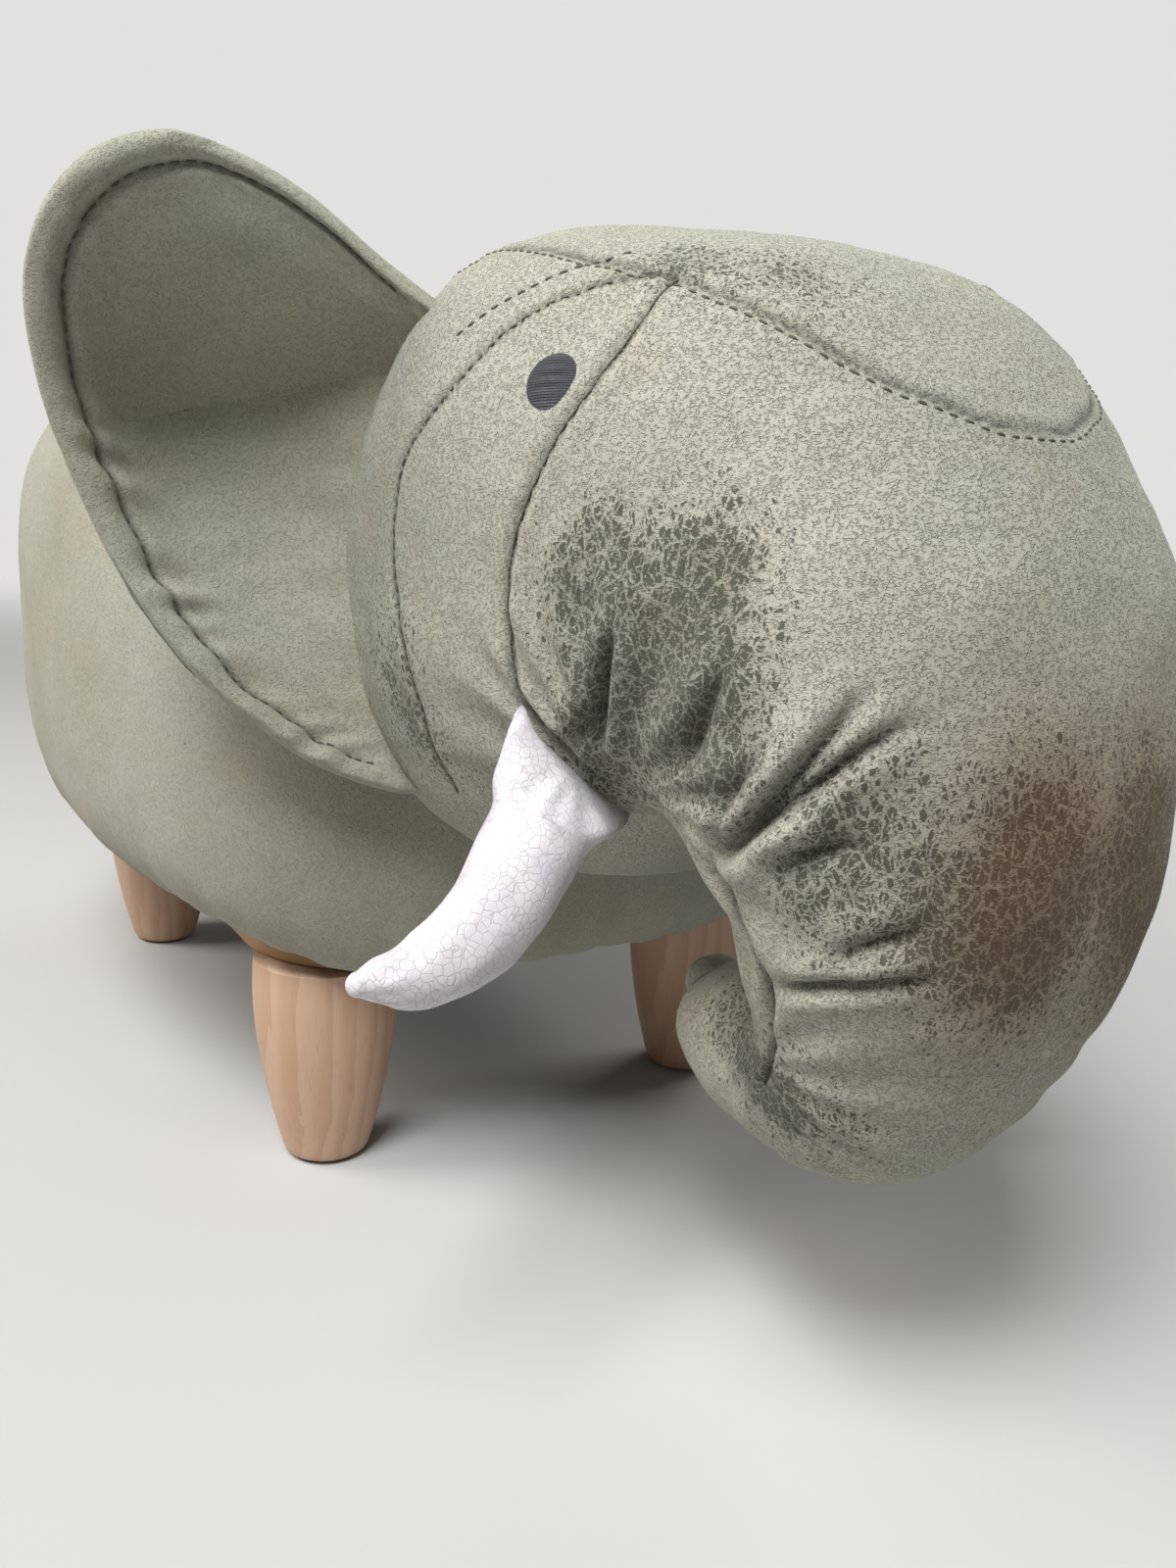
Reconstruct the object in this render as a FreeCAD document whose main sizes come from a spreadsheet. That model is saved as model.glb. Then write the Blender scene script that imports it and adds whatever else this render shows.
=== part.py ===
import FreeCAD, Part
import math
import os
import re
import types

import Sketcher

# Elephant footstool: a padded body and a stuffed head with a curled trunk over a
# plywood frame on four turned legs. Millimetres, Z up, the animal faces -Y and its
# left side is +X. The legs' centre lies under the origin until the last step, which
# moves every piece so that the origin is under the middle of the whole stool.

SIZES = {
    # Turned legs
    "leg_length": 84,
    "leg_edge_x": 26,
    "leg_edge_y": 32,
    "leg_foot_radius": 17,
    "leg_foot_bevel": 3,
    "leg_belly_radius": 28.5,
    "leg_belly_drop": 14,
    "leg_top_radius": 28,
    "leg_ankle_radius": 21,
    "leg_ankle_height": 19,
    "leg_shin_radius": 25.6,
    "leg_shin_height": 41,
    # Leg fixings
    "bolt_radius": 4,
    "leg_bolt_length": 46,
    "leg_bolt_depth": 34,
    "tee_nut_flange_radius": 11,
    "tee_nut_flange_thick": 1.6,
    "tee_nut_barrel_radius": 5.2,
    "tee_nut_barrel_length": 9,
    # Plywood frame
    "board_thick": 12,
    "base_margin_x": 10,
    "base_margin_y": 12,
    "base_corner": 54,
    "frame_length": 316,
    "frame_width": 212,
    "frame_height": 153,
    "seat_corner": 20,
    "glue_block_side": 24,
    "glue_block_height": 60,
    # Frame screws
    "screw_radius": 1.8,
    "screw_length": 40,
    "screw_head_radius": 3.8,
    "screw_head_length": 3,
    "screw_low_height": 30,
    "screw_pitch": 95,
    # Neck: block, head board and the bolts through both
    "neck_width": 84,
    "neck_height": 60,
    "neck_length": 60,
    "neck_drop": 15,
    "head_board_side": 100,
    "head_board_corner": 16,
    "neck_bolt_spacing": 46,
    "neck_bolt_head_radius": 9,
    "neck_bolt_head_height": 4,
    "neck_bolt_tail": 14,
    "washer_radius": 10,
    "washer_thick": 1.6,
    "nut_radius": 7.5,
    "nut_height": 6.5,
    # Seat foam
    "foam_thick": 36,
    "foam_inset": 18,
    "foam_round": 26,
    # Dust cover and its staples
    "dust_cover_thick": 1,
    "dust_cover_inset": 4,
    "staple_crown": 10,
    "staple_wire": 1,
    "staple_inset": 9,
    # Stuffed body
    "body_side_pad": 64,
    "body_front_pad": 48,
    "body_rear_pad": 72,
    "body_belly": 117,
    "body_rise": 136,
    "body_rim_drop": 7,
    # Stuffed head and trunk
    "head_width": 212,
    "head_length": 270,
    "head_height": 277,
    "head_sink": 56,
    "trunk_drop": 18,
    # Ears
    "ear_height": 184,
    "ear_reach": 106,
    "ear_level": 83,
    "ear_root_half_gap": 90,
    "ear_root_forward": 8,
    "ear_seam_forward": 12,
    "ear_swing_back": 12,
    "ear_cup": 30,
    "ear_lean": 14,
    "ear_thick": 11,
    "ear_rim_thick": 6,
    # Tusks
    "tusk_length": 84,
    "tusk_base_width": 42,
    "tusk_level": 104,
    "tusk_half_gap": 79,
    "tusk_forward": 96,
    # Embroidered eyes
    "eye_width": 16.5,
    "eye_height": 15.5,
    "eye_thick": 1.2,
    "eye_level": 206,
    "eye_forward": 89,
    "eye_half_gap": 86,
    "eye_turn": 28,
    "eye_tilt": 30,
    # Tail
    "tail_length": 128,
    "tail_width": 24,
    "tail_tip_width": 16,
    "tail_thick": 5,
    "tail_level": 181,
    # Clearances and the overrun of cuts
    "soft_gap": 0.3,
    "bore_gap": 0.1,
    "overrun": 20,
}

# Sizes that follow from those above, so that the legs, the base board and the stuffed
# body keep their margins round a frame of another size
FOLLOWING_SIZES = {
    "base_length": "frame_length + 2 * base_margin_y",
    "base_width": "frame_width + 2 * base_margin_x",
    "leg_spacing_x": "base_width - 2 * leg_edge_x",
    "leg_spacing_y": "base_length - 2 * leg_edge_y",
    "body_front": "frame_length / 2 + body_front_pad",
    "body_rear": "frame_length / 2 + body_rear_pad",
    "body_width": "frame_width + 2 * body_side_pad",
    "neck_level": "frame_height - neck_drop",
}

# Body sections: place along the body, half width, rise and belly
BODY_SECTION_SHARES = [
    (0.000, 0.34, 0.24, 0.55),
    (0.020, 0.58, 0.42, 0.84),
    (0.062, 0.745, 0.60, 0.98),
    (0.140, 0.865, 0.785, 1.00),
    (0.270, 0.950, 0.925, 1.00),
    (0.410, 0.995, 0.990, 1.00),
    (0.560, 1.000, 1.00, 1.00),
    (0.710, 0.965, 0.955, 1.00),
    (0.840, 0.870, 0.85, 0.99),
    (0.930, 0.740, 0.70, 0.90),
    (0.977, 0.560, 0.51, 0.69),
    (1.000, 0.320, 0.28, 0.36),
]

# Head sections from the neck round to the trunk's tip. Each runs from a point on the
# outline's outer side to one on its inner side: forward and up, forward and up, and
# the half width there
HEAD_SECTION_SHARES = [
    (-0.009, 0.840, 0.000, 0.307, 0.656),
    (0.054, 0.935, 0.112, 0.248, 0.898),
    (0.189, 0.997, 0.243, 0.231, 0.991),
    (0.348, 0.999, 0.353, 0.249, 0.989),
    (0.523, 0.972, 0.437, 0.285, 0.939),
    (0.688, 0.922, 0.500, 0.326, 0.857),
    (0.817, 0.801, 0.548, 0.358, 0.773),
    (0.916, 0.654, 0.585, 0.365, 0.717),
    (0.958, 0.489, 0.612, 0.341, 0.655),
    (0.953, 0.318, 0.632, 0.299, 0.559),
    (0.897, 0.169, 0.640, 0.258, 0.469),
    (0.807, 0.055, 0.635, 0.230, 0.395),
    (0.672, 0.020, 0.607, 0.214, 0.341),
    (0.541, 0.031, 0.561, 0.202, 0.285),
    (0.456, 0.068, 0.509, 0.184, 0.197),
    (0.429, 0.105, 0.478, 0.167, 0.094),
]

# Ear sections from its foot up: height, root, rim, cup and forward lean
EAR_SECTION_SHARES = [
    (0.000, -0.12, 0.02, 0.05, 0.10),
    (0.045, -0.14, 0.19, 0.16, 0.08),
    (0.125, -0.14, 0.42, 0.34, 0.03),
    (0.230, -0.14, 0.63, 0.54, 0.00),
    (0.370, -0.14, 0.80, 0.76, 0.00),
    (0.500, -0.14, 0.90, 0.94, 0.06),
    (0.620, -0.14, 0.97, 1.00, 0.22),
    (0.730, -0.14, 1.00, 0.85, 0.50),
    (0.830, -0.10, 0.98, 0.55, 0.76),
    (0.920, 0.06, 0.88, 0.25, 0.93),
    (1.000, 0.40, 0.63, 0.05, 1.00),
]

# Tusk sections from its sewn base to its tip: out, down and forward along the tusk's
# length, then half its girth across and through as shares of the base's width
TUSK_SECTION_SHARES = [
    (-0.170, -0.140, -0.030, 0.43, 0.26),
    (0.000, 0.000, 0.000, 0.44, 0.28),
    (0.120, 0.155, 0.030, 0.36, 0.31),
    (0.280, 0.315, 0.070, 0.31, 0.31),
    (0.505, 0.460, 0.140, 0.28, 0.28),
    (0.725, 0.515, 0.200, 0.205, 0.205),
    (0.825, 0.525, 0.235, 0.11, 0.11),
]

# How flat a section's sides, crown and base are, and how round its upper and lower
# corners: radii as shares of its half width and height
BODY_ROUND_SHARES = (2.2, 1.8, 0.45, 9.0, 0.30)
HEAD_ROUND_SHARES = (1.38, 1.38, 0.60, 1.38, 0.60)
TRUNK_ROUND_SHARES = (1.15, 1.15, 0.78, 1.15, 0.78)
TRUNK_START_SHARE = 0.7

# Sections that each form is drawn through, set between those of its table
BODY_SECTION_COUNT = 22
HEAD_SECTION_COUNT = 28
EAR_SECTION_COUNT = 18
TUSK_SECTION_COUNT = 18

doc = FreeCAD.newDocument("ElephantFootstool")
sheet = doc.addObject("Spreadsheet::Sheet", "Sizes")
pieces = []


def fill_sheet():
    """Write each size as a plain number with its name as the cell's alias."""
    for row, (name, value) in enumerate(SIZES.items(), start=1):
        sheet.set(f"A{row}", name)
        sheet.set(f"B{row}", str(value))
        sheet.setAlias(f"B{row}", name)
    doc.recompute()


def read_sizes():
    """Read every size back from the sheet, for the shapes that code makes."""
    return types.SimpleNamespace(**{name: value_of(name) for name in [*SIZES, *FOLLOWING_SIZES]})


def written_out(text):
    """A formula with each size that follows from others written out in those."""
    for name in re.findall(r"[a-z][a-z_]+", text):
        if name in FOLLOWING_SIZES:
            text = re.sub(rf"\b{name}\b", "(" + written_out(FOLLOWING_SIZES[name]) + ")", text)
    return text


def formula(text):
    """Turn a formula of size names into an expression on the sheet."""
    return re.sub(r"[a-z][a-z_]+", lambda found: "Sizes." + found.group(), written_out(text))


def bind(item, **formulas):
    """Bind properties of a document object to formulas of size names."""
    for prop, text in formulas.items():
        item.setExpression(prop, formula(text))
    return item


def place(item, x="0", y="0", z="0"):
    """Bind the place of an operand or primitive to formulas of size names."""
    for axis, text in (("x", x), ("y", y), ("z", z)):
        item.setExpression("Placement.Base." + axis, formula(text))
    return item


def piece(item, label):
    """Name a finished sub-part and list it for writing."""
    item.Label = label
    pieces.append(item)
    return item


def shape_piece(label, shape):
    """Make a sub-part whose shape code has made."""
    item = doc.addObject("Part::Feature", label)
    item.Shape = shape
    return piece(item, label)


def mirrored(shape):
    """The same shape on the animal's other side."""
    return shape.mirror(FreeCAD.Vector(0, 0, 0), FreeCAD.Vector(1, 0, 0))


# Sketches and bodies


def new_body(label):
    """A body with its own origin."""
    body = doc.addObject("PartDesign::Body", label)
    doc.recompute()
    return body


def new_sketch(body, name, role):
    """A sketch on one of the body's own origin planes."""
    sketch = body.newObject("Sketcher::SketchObject", name)
    planes = {feature.Role: feature for feature in body.Origin.OriginFeatures}
    sketch.AttachmentSupport = [(planes[role], "")]
    sketch.MapMode = "FlatFace"
    return sketch


def fix_point(sketch, edge, end, across, along):
    """Hold one end of an edge at a place given by two formulas."""
    for kind, axis, text in (("DistanceX", -2, across), ("DistanceY", -1, along)):
        if text == "0":
            sketch.addConstraint(Sketcher.Constraint("PointOnObject", edge, end, axis))
            continue
        start = value_of(text)
        index = sketch.addConstraint(Sketcher.Constraint(kind, -1, 1, edge, end, start))
        sketch.setExpression(f"Constraints[{index}]", formula(text))


def value_of(text):
    """The present value of a formula of size names."""
    filled = re.sub(r"[a-z][a-z_]+", lambda found: "(" + str(float(sheet.get(found.group()))) + ")",
                    written_out(text))
    return FreeCAD.Units.Quantity(filled).Value


def outline(sketch, points, arcs=()):
    """Close a loop through points given by formulas; arcs names edges with a radius.

    Each entry of arcs is the edge's number, its radius formula and the side it bulges to:
    1 where the loop turns left along it and -1 where it turns right.
    """
    places = [FreeCAD.Vector(*(value_of(text) for text in point), 0)
              for point in points]
    curved = {edge: (radius, side) for edge, radius, side in arcs}
    ends = []
    for edge, start in enumerate(places):
        stop = places[(edge + 1) % len(places)]
        if edge not in curved:
            sketch.addGeometry(Part.LineSegment(start, stop), False)
            ends.append((1, 2))
            continue
        radius = value_of(curved[edge][0])
        chord = stop - start
        middle = (start + stop) / 2
        square = FreeCAD.Vector(chord.y, -chord.x, 0).normalize() * curved[edge][1]
        rise = radius - math.sqrt(radius ** 2 - (chord.Length / 2) ** 2)
        sketch.addGeometry(Part.Arc(start, middle + square * rise, stop), False)
        ends.append((1, 2) if curved[edge][1] > 0 else (2, 1))
    for edge, point in enumerate(points):
        before = (edge - 1) % len(points)
        sketch.addConstraint(Sketcher.Constraint(
            "Coincident", before, ends[before][1], edge, ends[edge][0]))
        fix_point(sketch, edge, ends[edge][0], *point)
    for edge, (radius, side) in curved.items():
        index = sketch.addConstraint(Sketcher.Constraint(
            "Radius", edge, value_of(radius)))
        sketch.setExpression(f"Constraints[{index}]", formula(radius))


def turned(label, points, arcs=()):
    """A body turned about its vertical axis from a half profile."""
    body = new_body(label)
    sketch = new_sketch(body, label + "_profile", "XZ_Plane")
    outline(sketch, points, arcs)
    turn = body.newObject("PartDesign::Revolution", label + "_turn")
    turn.Profile = sketch
    turn.ReferenceAxis = (sketch, ["V_Axis"])
    turn.Angle = 360
    doc.recompute()
    return body


def rounded_plate(label, length, width, thick, corner):
    """A flat plate centred on its origin with rounded upright corners."""
    body = new_body(label)
    sketch = new_sketch(body, label + "_outline", "XY_Plane")
    half_x = f"({width}) / 2"
    half_y = f"({length}) / 2"
    outline(sketch, [
        (f"{half_x} - ({corner})", f"-({half_y})"),
        (half_x, f"-({half_y}) + ({corner})"),
        (half_x, f"{half_y} - ({corner})"),
        (f"{half_x} - ({corner})", half_y),
        (f"-({half_x}) + ({corner})", half_y),
        (f"-({half_x})", f"{half_y} - ({corner})"),
        (f"-({half_x})", f"-({half_y}) + ({corner})"),
        (f"-({half_x}) + ({corner})", f"-({half_y})"),
    ], arcs=[(0, corner, 1), (2, corner, 1), (4, corner, 1), (6, corner, 1)])
    pad = body.newObject("PartDesign::Pad", label + "_pad")
    pad.Profile = sketch
    bind(pad, Length=thick)
    doc.recompute()
    return body


def drill(body, name, radius, centres, depth=None, face=None):
    """Cut round holes up through a plate, or to a depth down from its face."""
    before = body.Shape.Volume
    sketch = new_sketch(body, name, "XY_Plane")
    if depth:
        sketch.setExpression("AttachmentOffset.Base.z", formula(face))
        doc.recompute()
    for number, (across, along) in enumerate(centres):
        value = [value_of(text) for text in (across, along)]
        reach = value_of(radius)
        sketch.addGeometry(Part.Circle(FreeCAD.Vector(*value, 0), FreeCAD.Vector(0, 0, 1), reach), False)
        index = sketch.addConstraint(Sketcher.Constraint("Radius", number, reach))
        sketch.setExpression(f"Constraints[{index}]", formula(radius))
        fix_point(sketch, number, 3, across, along)
    pocket = body.newObject("PartDesign::Pocket", name + "_cut")
    pocket.Profile = sketch
    if depth:
        bind(pocket, Length=depth)
    else:
        pocket.Type = "ThroughAll"
        pocket.Reversed = True
    doc.recompute()
    if body.Shape.Volume >= before:
        raise RuntimeError(name + " cuts nothing")


LEG_CORNERS = [
    ("front_left", 1, -1),
    ("front_right", -1, -1),
    ("rear_left", 1, 1),
    ("rear_right", -1, 1),
]


def leg_centres():
    """Formulas of the four legs' places."""
    return [(f"{side} * leg_spacing_x / 2", f"{end} * leg_spacing_y / 2")
            for name, side, end in LEG_CORNERS]


def at_legs(shape, height):
    """Copies of a shape over the four legs at one height."""
    copies = []
    for name, side, end in LEG_CORNERS:
        copy = shape.copy()
        copy.Placement.Base = FreeCAD.Vector(
            side * S.leg_spacing_x / 2, end * S.leg_spacing_y / 2, height)
        copies.append(copy)
    return Part.makeCompound(copies)


# Legs and what holds them


def make_legs():
    """Four turned legs, each with the blind bore for its hanger bolt."""
    for name, side, end in LEG_CORNERS:
        leg = turned(name + "_leg", [
            ("0", "0"),
            ("leg_foot_radius - leg_foot_bevel", "0"),
            ("leg_foot_radius", "leg_foot_bevel"),
            ("leg_ankle_radius", "leg_ankle_height"),
            ("leg_shin_radius", "leg_shin_height"),
            ("leg_belly_radius", "leg_length - leg_belly_drop"),
            ("leg_top_radius", "leg_length"),
            ("bolt_radius + bore_gap", "leg_length"),
            ("bolt_radius + bore_gap", "leg_length - leg_bolt_depth - bore_gap"),
            ("0", "leg_length - leg_bolt_depth - bore_gap"),
        ])
        leg.Placement.Base = FreeCAD.Vector(side * S.leg_spacing_x / 2, end * S.leg_spacing_y / 2, 0)
        piece(leg, name + "_leg")


def make_leg_fixings():
    """Hanger bolts in the legs and tee nuts in the base board, four of each."""
    bolt = Part.makeCylinder(S.bolt_radius, S.leg_bolt_length)
    shape_piece("leg_bolts", at_legs(bolt, S.leg_length - S.leg_bolt_depth))
    flange = Part.makeCylinder(S.tee_nut_flange_radius, S.tee_nut_flange_thick)
    barrel = Part.makeCylinder(S.tee_nut_barrel_radius, S.tee_nut_barrel_length)
    barrel.translate(FreeCAD.Vector(0, 0, -S.tee_nut_barrel_length))
    bore = Part.makeCylinder(S.bolt_radius + S.bore_gap, S.tee_nut_barrel_length + S.overrun)
    bore.translate(FreeCAD.Vector(0, 0, -S.tee_nut_barrel_length - S.overrun / 2))
    nut = flange.fuse(barrel).cut(bore).removeSplitter()
    shape_piece("tee_nuts", at_legs(nut, base_top() - S.tee_nut_flange_thick - S.bore_gap))


def base_bottom():
    return S.leg_length + S.dust_cover_thick


def base_top():
    return base_bottom() + S.board_thick


def seat_bottom():
    return base_top() + S.frame_height


def seat_top():
    return seat_bottom() + S.board_thick


def make_base_board():
    """Bottom board with holes over the legs and sunk seats for the tee nuts' flanges."""
    board = rounded_plate("base_board", "base_length", "base_width", "board_thick", "base_corner")
    drill(board, "base_board_holes", "tee_nut_barrel_radius + bore_gap", leg_centres())
    drill(board, "base_board_seats", "tee_nut_flange_radius + bore_gap", leg_centres(),
          "tee_nut_flange_thick + bore_gap", "board_thick")
    board.Placement.Base.z = base_bottom()
    piece(board, "base_board")


def make_dust_cover():
    """Nonwoven cover under the base board, clamped by the legs."""
    cover = rounded_plate(
        "dust_cover", "base_length - 2 * dust_cover_inset", "base_width - 2 * dust_cover_inset",
        "dust_cover_thick", "base_corner - dust_cover_inset")
    drill(cover, "dust_cover_holes", "bolt_radius + bore_gap", leg_centres())
    cover.Placement.Base.z = S.leg_length
    piece(cover, "dust_cover")


def make_staples():
    """Staple crowns along the dust cover's edge, between the legs and across the ends."""
    rows = []
    side = S.base_width / 2 - S.dust_cover_inset - S.staple_inset
    end = S.base_length / 2 - S.dust_cover_inset - S.staple_inset
    for step in range(-2, 3):
        place_y = step * S.leg_spacing_y / 8
        rows += [(side, place_y, 0), (-side, place_y, 0)]
    for step in range(-1, 2):
        place_x = step * S.leg_spacing_x / 6
        rows += [(place_x, end, 1), (place_x, -end, 1)]
    crowns = []
    for x, y, turned_along in rows:
        dx, dy = (S.staple_crown, S.staple_wire) if turned_along else (S.staple_wire, S.staple_crown)
        crown = Part.makeBox(dx, dy, S.staple_wire)
        crown.translate(FreeCAD.Vector(x - dx / 2, y - dy / 2, S.leg_length - S.staple_wire))
        crowns.append(crown)
    shape_piece("dust_cover_staples", Part.makeCompound(crowns))


# Plywood frame


def screw_places():
    """Side, end and height of each frame screw in the rails' ends."""
    return [(side, end, base_top() + S.screw_low_height + step * S.screw_pitch)
            for side in (-1, 1) for end in (-1, 1) for step in (0, 1)]


def screw_shape(gap=0):
    """One countersunk screw along +Y with its head's face at the origin."""
    axis = FreeCAD.Vector(0, 1, 0)
    head = Part.makeCone(S.screw_head_radius + gap, S.screw_radius + gap, S.screw_head_length,
                         FreeCAD.Vector(0, 0, 0), axis)
    shank = Part.makeCylinder(S.screw_radius + gap, S.screw_length - S.screw_head_length + gap,
                              FreeCAD.Vector(0, S.screw_head_length, 0), axis)
    return head.fuse(shank).removeSplitter()


def screws(gap=0):
    """Every frame screw in its place, or with a gap the holes for them."""
    made = []
    for side, end, height in screw_places():
        screw = screw_shape(gap)
        if end > 0:
            screw.rotate(FreeCAD.Vector(0, 0, 0), FreeCAD.Vector(0, 0, 1), 180)
        screw.translate(FreeCAD.Vector(
            side * (S.frame_width - S.board_thick) / 2, end * S.frame_length / 2, height))
        made.append(screw)
    return made


def upright(label, width, depth, x, y, holes):
    """One board of the frame standing on the base board, drilled by the given tools."""
    board = bind(doc.addObject("Part::Box", label + "_blank"),
                 Length=width, Width=depth, Height="frame_height")
    place(board, x, y, "leg_length + dust_cover_thick + board_thick")
    tool = doc.addObject("Part::Feature", label + "_holes")
    tool.Shape = Part.makeCompound(holes)
    cut = doc.addObject("Part::Cut", label)
    cut.Base = board
    cut.Tool = tool
    return piece(cut, label)


def make_frame():
    """Front and rear panels between which the two side rails stand."""
    holes = screws(S.bore_gap)
    neck_holes = neck_bores(S.bolt_radius + S.bore_gap)
    upright("front_panel", "frame_width", "board_thick", "-frame_width / 2", "-frame_length / 2",
            holes + neck_holes)
    upright("rear_panel", "frame_width", "board_thick",
            "-frame_width / 2", "frame_length / 2 - board_thick", holes)
    for name, x in (("left_rail", "frame_width / 2 - board_thick"), ("right_rail", "-frame_width / 2")):
        upright(name, "board_thick", "frame_length - 2 * board_thick",
                x, "board_thick - frame_length / 2", holes)
    shape_piece("frame_screws", Part.makeCompound(screws()))
    board = rounded_plate("seat_board", "frame_length", "frame_width", "board_thick", "seat_corner")
    board.Placement.Base.z = seat_bottom()
    piece(board, "seat_board")


def make_glue_blocks():
    """A square block in each upper corner of the frame, under the seat board."""
    for name, side, end in LEG_CORNERS:
        block = bind(doc.addObject("Part::Box", name + "_glue_block"),
                     Length="glue_block_side", Width="glue_block_side", Height="glue_block_height")
        x = "frame_width / 2 - board_thick - glue_block_side" if side > 0 \
            else "board_thick - frame_width / 2"
        y = "frame_length / 2 - board_thick - glue_block_side" if end > 0 \
            else "board_thick - frame_length / 2"
        block.Placement.Base = FreeCAD.Vector(
            *(value_of(text) for text in (x, y)),
            seat_bottom() - S.glue_block_height)
        piece(block, name + "_glue_block")


def make_seat_foam():
    """Foam slab on the seat board with its upper edges rounded."""
    block = bind(doc.addObject("Part::Box", "seat_foam_blank"),
                 Length="frame_width - 2 * foam_inset", Width="frame_length - 2 * foam_inset",
                 Height="foam_thick")
    place(block, "foam_inset - frame_width / 2", "foam_inset - frame_length / 2",
          "leg_length + dust_cover_thick + 2 * board_thick + frame_height")
    doc.recompute()
    foam = doc.addObject("Part::Fillet", "seat_foam")
    foam.Base = block
    top = block.Shape.BoundBox.ZMax
    foam.Edges = [(number + 1, S.foam_round, S.foam_round)
                  for number, edge in enumerate(block.Shape.Edges)
                  if edge.BoundBox.ZMin > top - S.bore_gap or edge.BoundBox.ZLength > S.foam_thick / 2]
    piece(foam, "seat_foam")


# Neck


def neck_bores(radius):
    """Two cylinders along the neck bolts, long enough for every hole they pass."""
    made = []
    for side in (-1, 1):
        front = -S.frame_length / 2 - S.neck_length - S.board_thick - S.overrun
        made.append(Part.makeCylinder(
            radius, S.neck_length + 2 * S.board_thick + 2 * S.overrun,
            FreeCAD.Vector(side * S.neck_bolt_spacing / 2, front, base_bottom() + S.neck_level),
            FreeCAD.Vector(0, 1, 0)))
    return made


def make_neck():
    """Neck block and head board, carried by two coach bolts from the front panel."""
    level = base_bottom() + S.neck_level
    panel_face = -S.frame_length / 2
    board_face = panel_face - S.neck_length
    bores = Part.makeCompound(neck_bores(S.bolt_radius + S.bore_gap))
    block = Part.makeBox(S.neck_width, S.neck_length, S.neck_height, FreeCAD.Vector(
        -S.neck_width / 2, board_face, level - S.neck_height / 2))
    shape_piece("neck_block", block.cut(bores))
    board = rounded_plate("head_board", "head_board_side", "head_board_side", "board_thick",
                          "head_board_corner")
    drill(board, "head_board_holes", "bolt_radius + bore_gap",
          [("neck_bolt_spacing / 2", "0"), ("-neck_bolt_spacing / 2", "0")])
    board.Placement = FreeCAD.Placement(
        FreeCAD.Vector(0, board_face, level), FreeCAD.Rotation(FreeCAD.Vector(1, 0, 0), 90))
    piece(board, "head_board")
    make_neck_fasteners(level, board_face - S.board_thick, panel_face + S.board_thick)


def neck_bolt(front, rear, grow=0):
    """One coach bolt along +Y on its own axis, its domed head in front of the board."""
    shank = Part.makeCylinder(S.bolt_radius + grow, rear - front + S.neck_bolt_tail,
                              FreeCAD.Vector(0, front, 0), FreeCAD.Vector(0, 1, 0))
    head = Part.makeCone(S.neck_bolt_head_radius + grow, S.neck_bolt_head_radius / 2 + grow,
                         S.neck_bolt_head_height + grow, FreeCAD.Vector(0, front, 0),
                         FreeCAD.Vector(0, -1, 0))
    return shank.fuse(head).removeSplitter()


def ring(outer, inner, thick, start, sides=None):
    """A washer, or with sides a nut, along +Y from a start."""
    if sides:
        corners = [FreeCAD.Vector(outer * math.cos(2 * math.pi * step / sides), start,
                                  outer * math.sin(2 * math.pi * step / sides))
                   for step in range(sides + 1)]
        blank = Part.Face(Part.makePolygon(corners)).extrude(FreeCAD.Vector(0, thick, 0))
    else:
        blank = Part.makeCylinder(outer, thick, FreeCAD.Vector(0, start, 0), FreeCAD.Vector(0, 1, 0))
    hole = Part.makeCylinder(inner, thick + 2 * S.overrun,
                             FreeCAD.Vector(0, start - S.overrun, 0), FreeCAD.Vector(0, 1, 0))
    return blank.cut(hole)


def pair(shape, level):
    """Two copies at the neck bolts' spacing."""
    copies = []
    for side in (-1, 1):
        copy = shape.copy()
        copy.translate(FreeCAD.Vector(side * S.neck_bolt_spacing / 2, 0, level))
        copies.append(copy)
    return Part.makeCompound(copies)


def make_neck_fasteners(level, front, rear):
    """Coach bolts, washers and nuts of the neck."""
    bore = S.bolt_radius + S.bore_gap
    shape_piece("neck_bolts", pair(neck_bolt(front, rear), level))
    shape_piece("neck_washers", pair(ring(S.washer_radius, bore, S.washer_thick, rear), level))
    shape_piece("neck_nuts", pair(
        ring(S.nut_radius, bore, S.nut_height, rear + S.washer_thick, sides=6), level))


# Stuffed forms. Every section is a closed ring of eight arcs: four sides that bulge a
# little and four corners between them, each arc running smoothly into the next.


def corner_arc(half_width, height, side_radius, crown_radius, corner_radius):
    """Centre, ends and middle of the arc that joins a side to a crown."""
    crown = (0, height - crown_radius)
    side = (half_width - side_radius, 0)
    gap_x = side[0] - crown[0]
    gap_z = side[1] - crown[1]
    gap = math.hypot(gap_x, gap_z)
    from_crown = crown_radius - corner_radius
    from_side = side_radius - corner_radius
    along = (from_crown ** 2 - from_side ** 2 + gap ** 2) / (2 * gap)
    away = math.sqrt(max(from_crown ** 2 - along ** 2, 0))
    centres = [(crown[0] + (along * gap_x - turn * away * gap_z) / gap,
                crown[1] + (along * gap_z + turn * away * gap_x) / gap) for turn in (-1, 1)]
    centre = max(centres, key=sum)
    upper = aimed(crown, centre, crown_radius)
    lower = aimed(side, centre, side_radius)
    middle = aimed(centre, ((upper[0] + lower[0]) / 2, (upper[1] + lower[1]) / 2), corner_radius)
    return upper, middle, lower


def aimed(start, towards, length):
    """The point a length away from a start, in the direction of another point."""
    x, z = towards[0] - start[0], towards[1] - start[1]
    reach = math.hypot(x, z)
    return start[0] + x * length / reach, start[1] + z * length / reach


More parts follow.
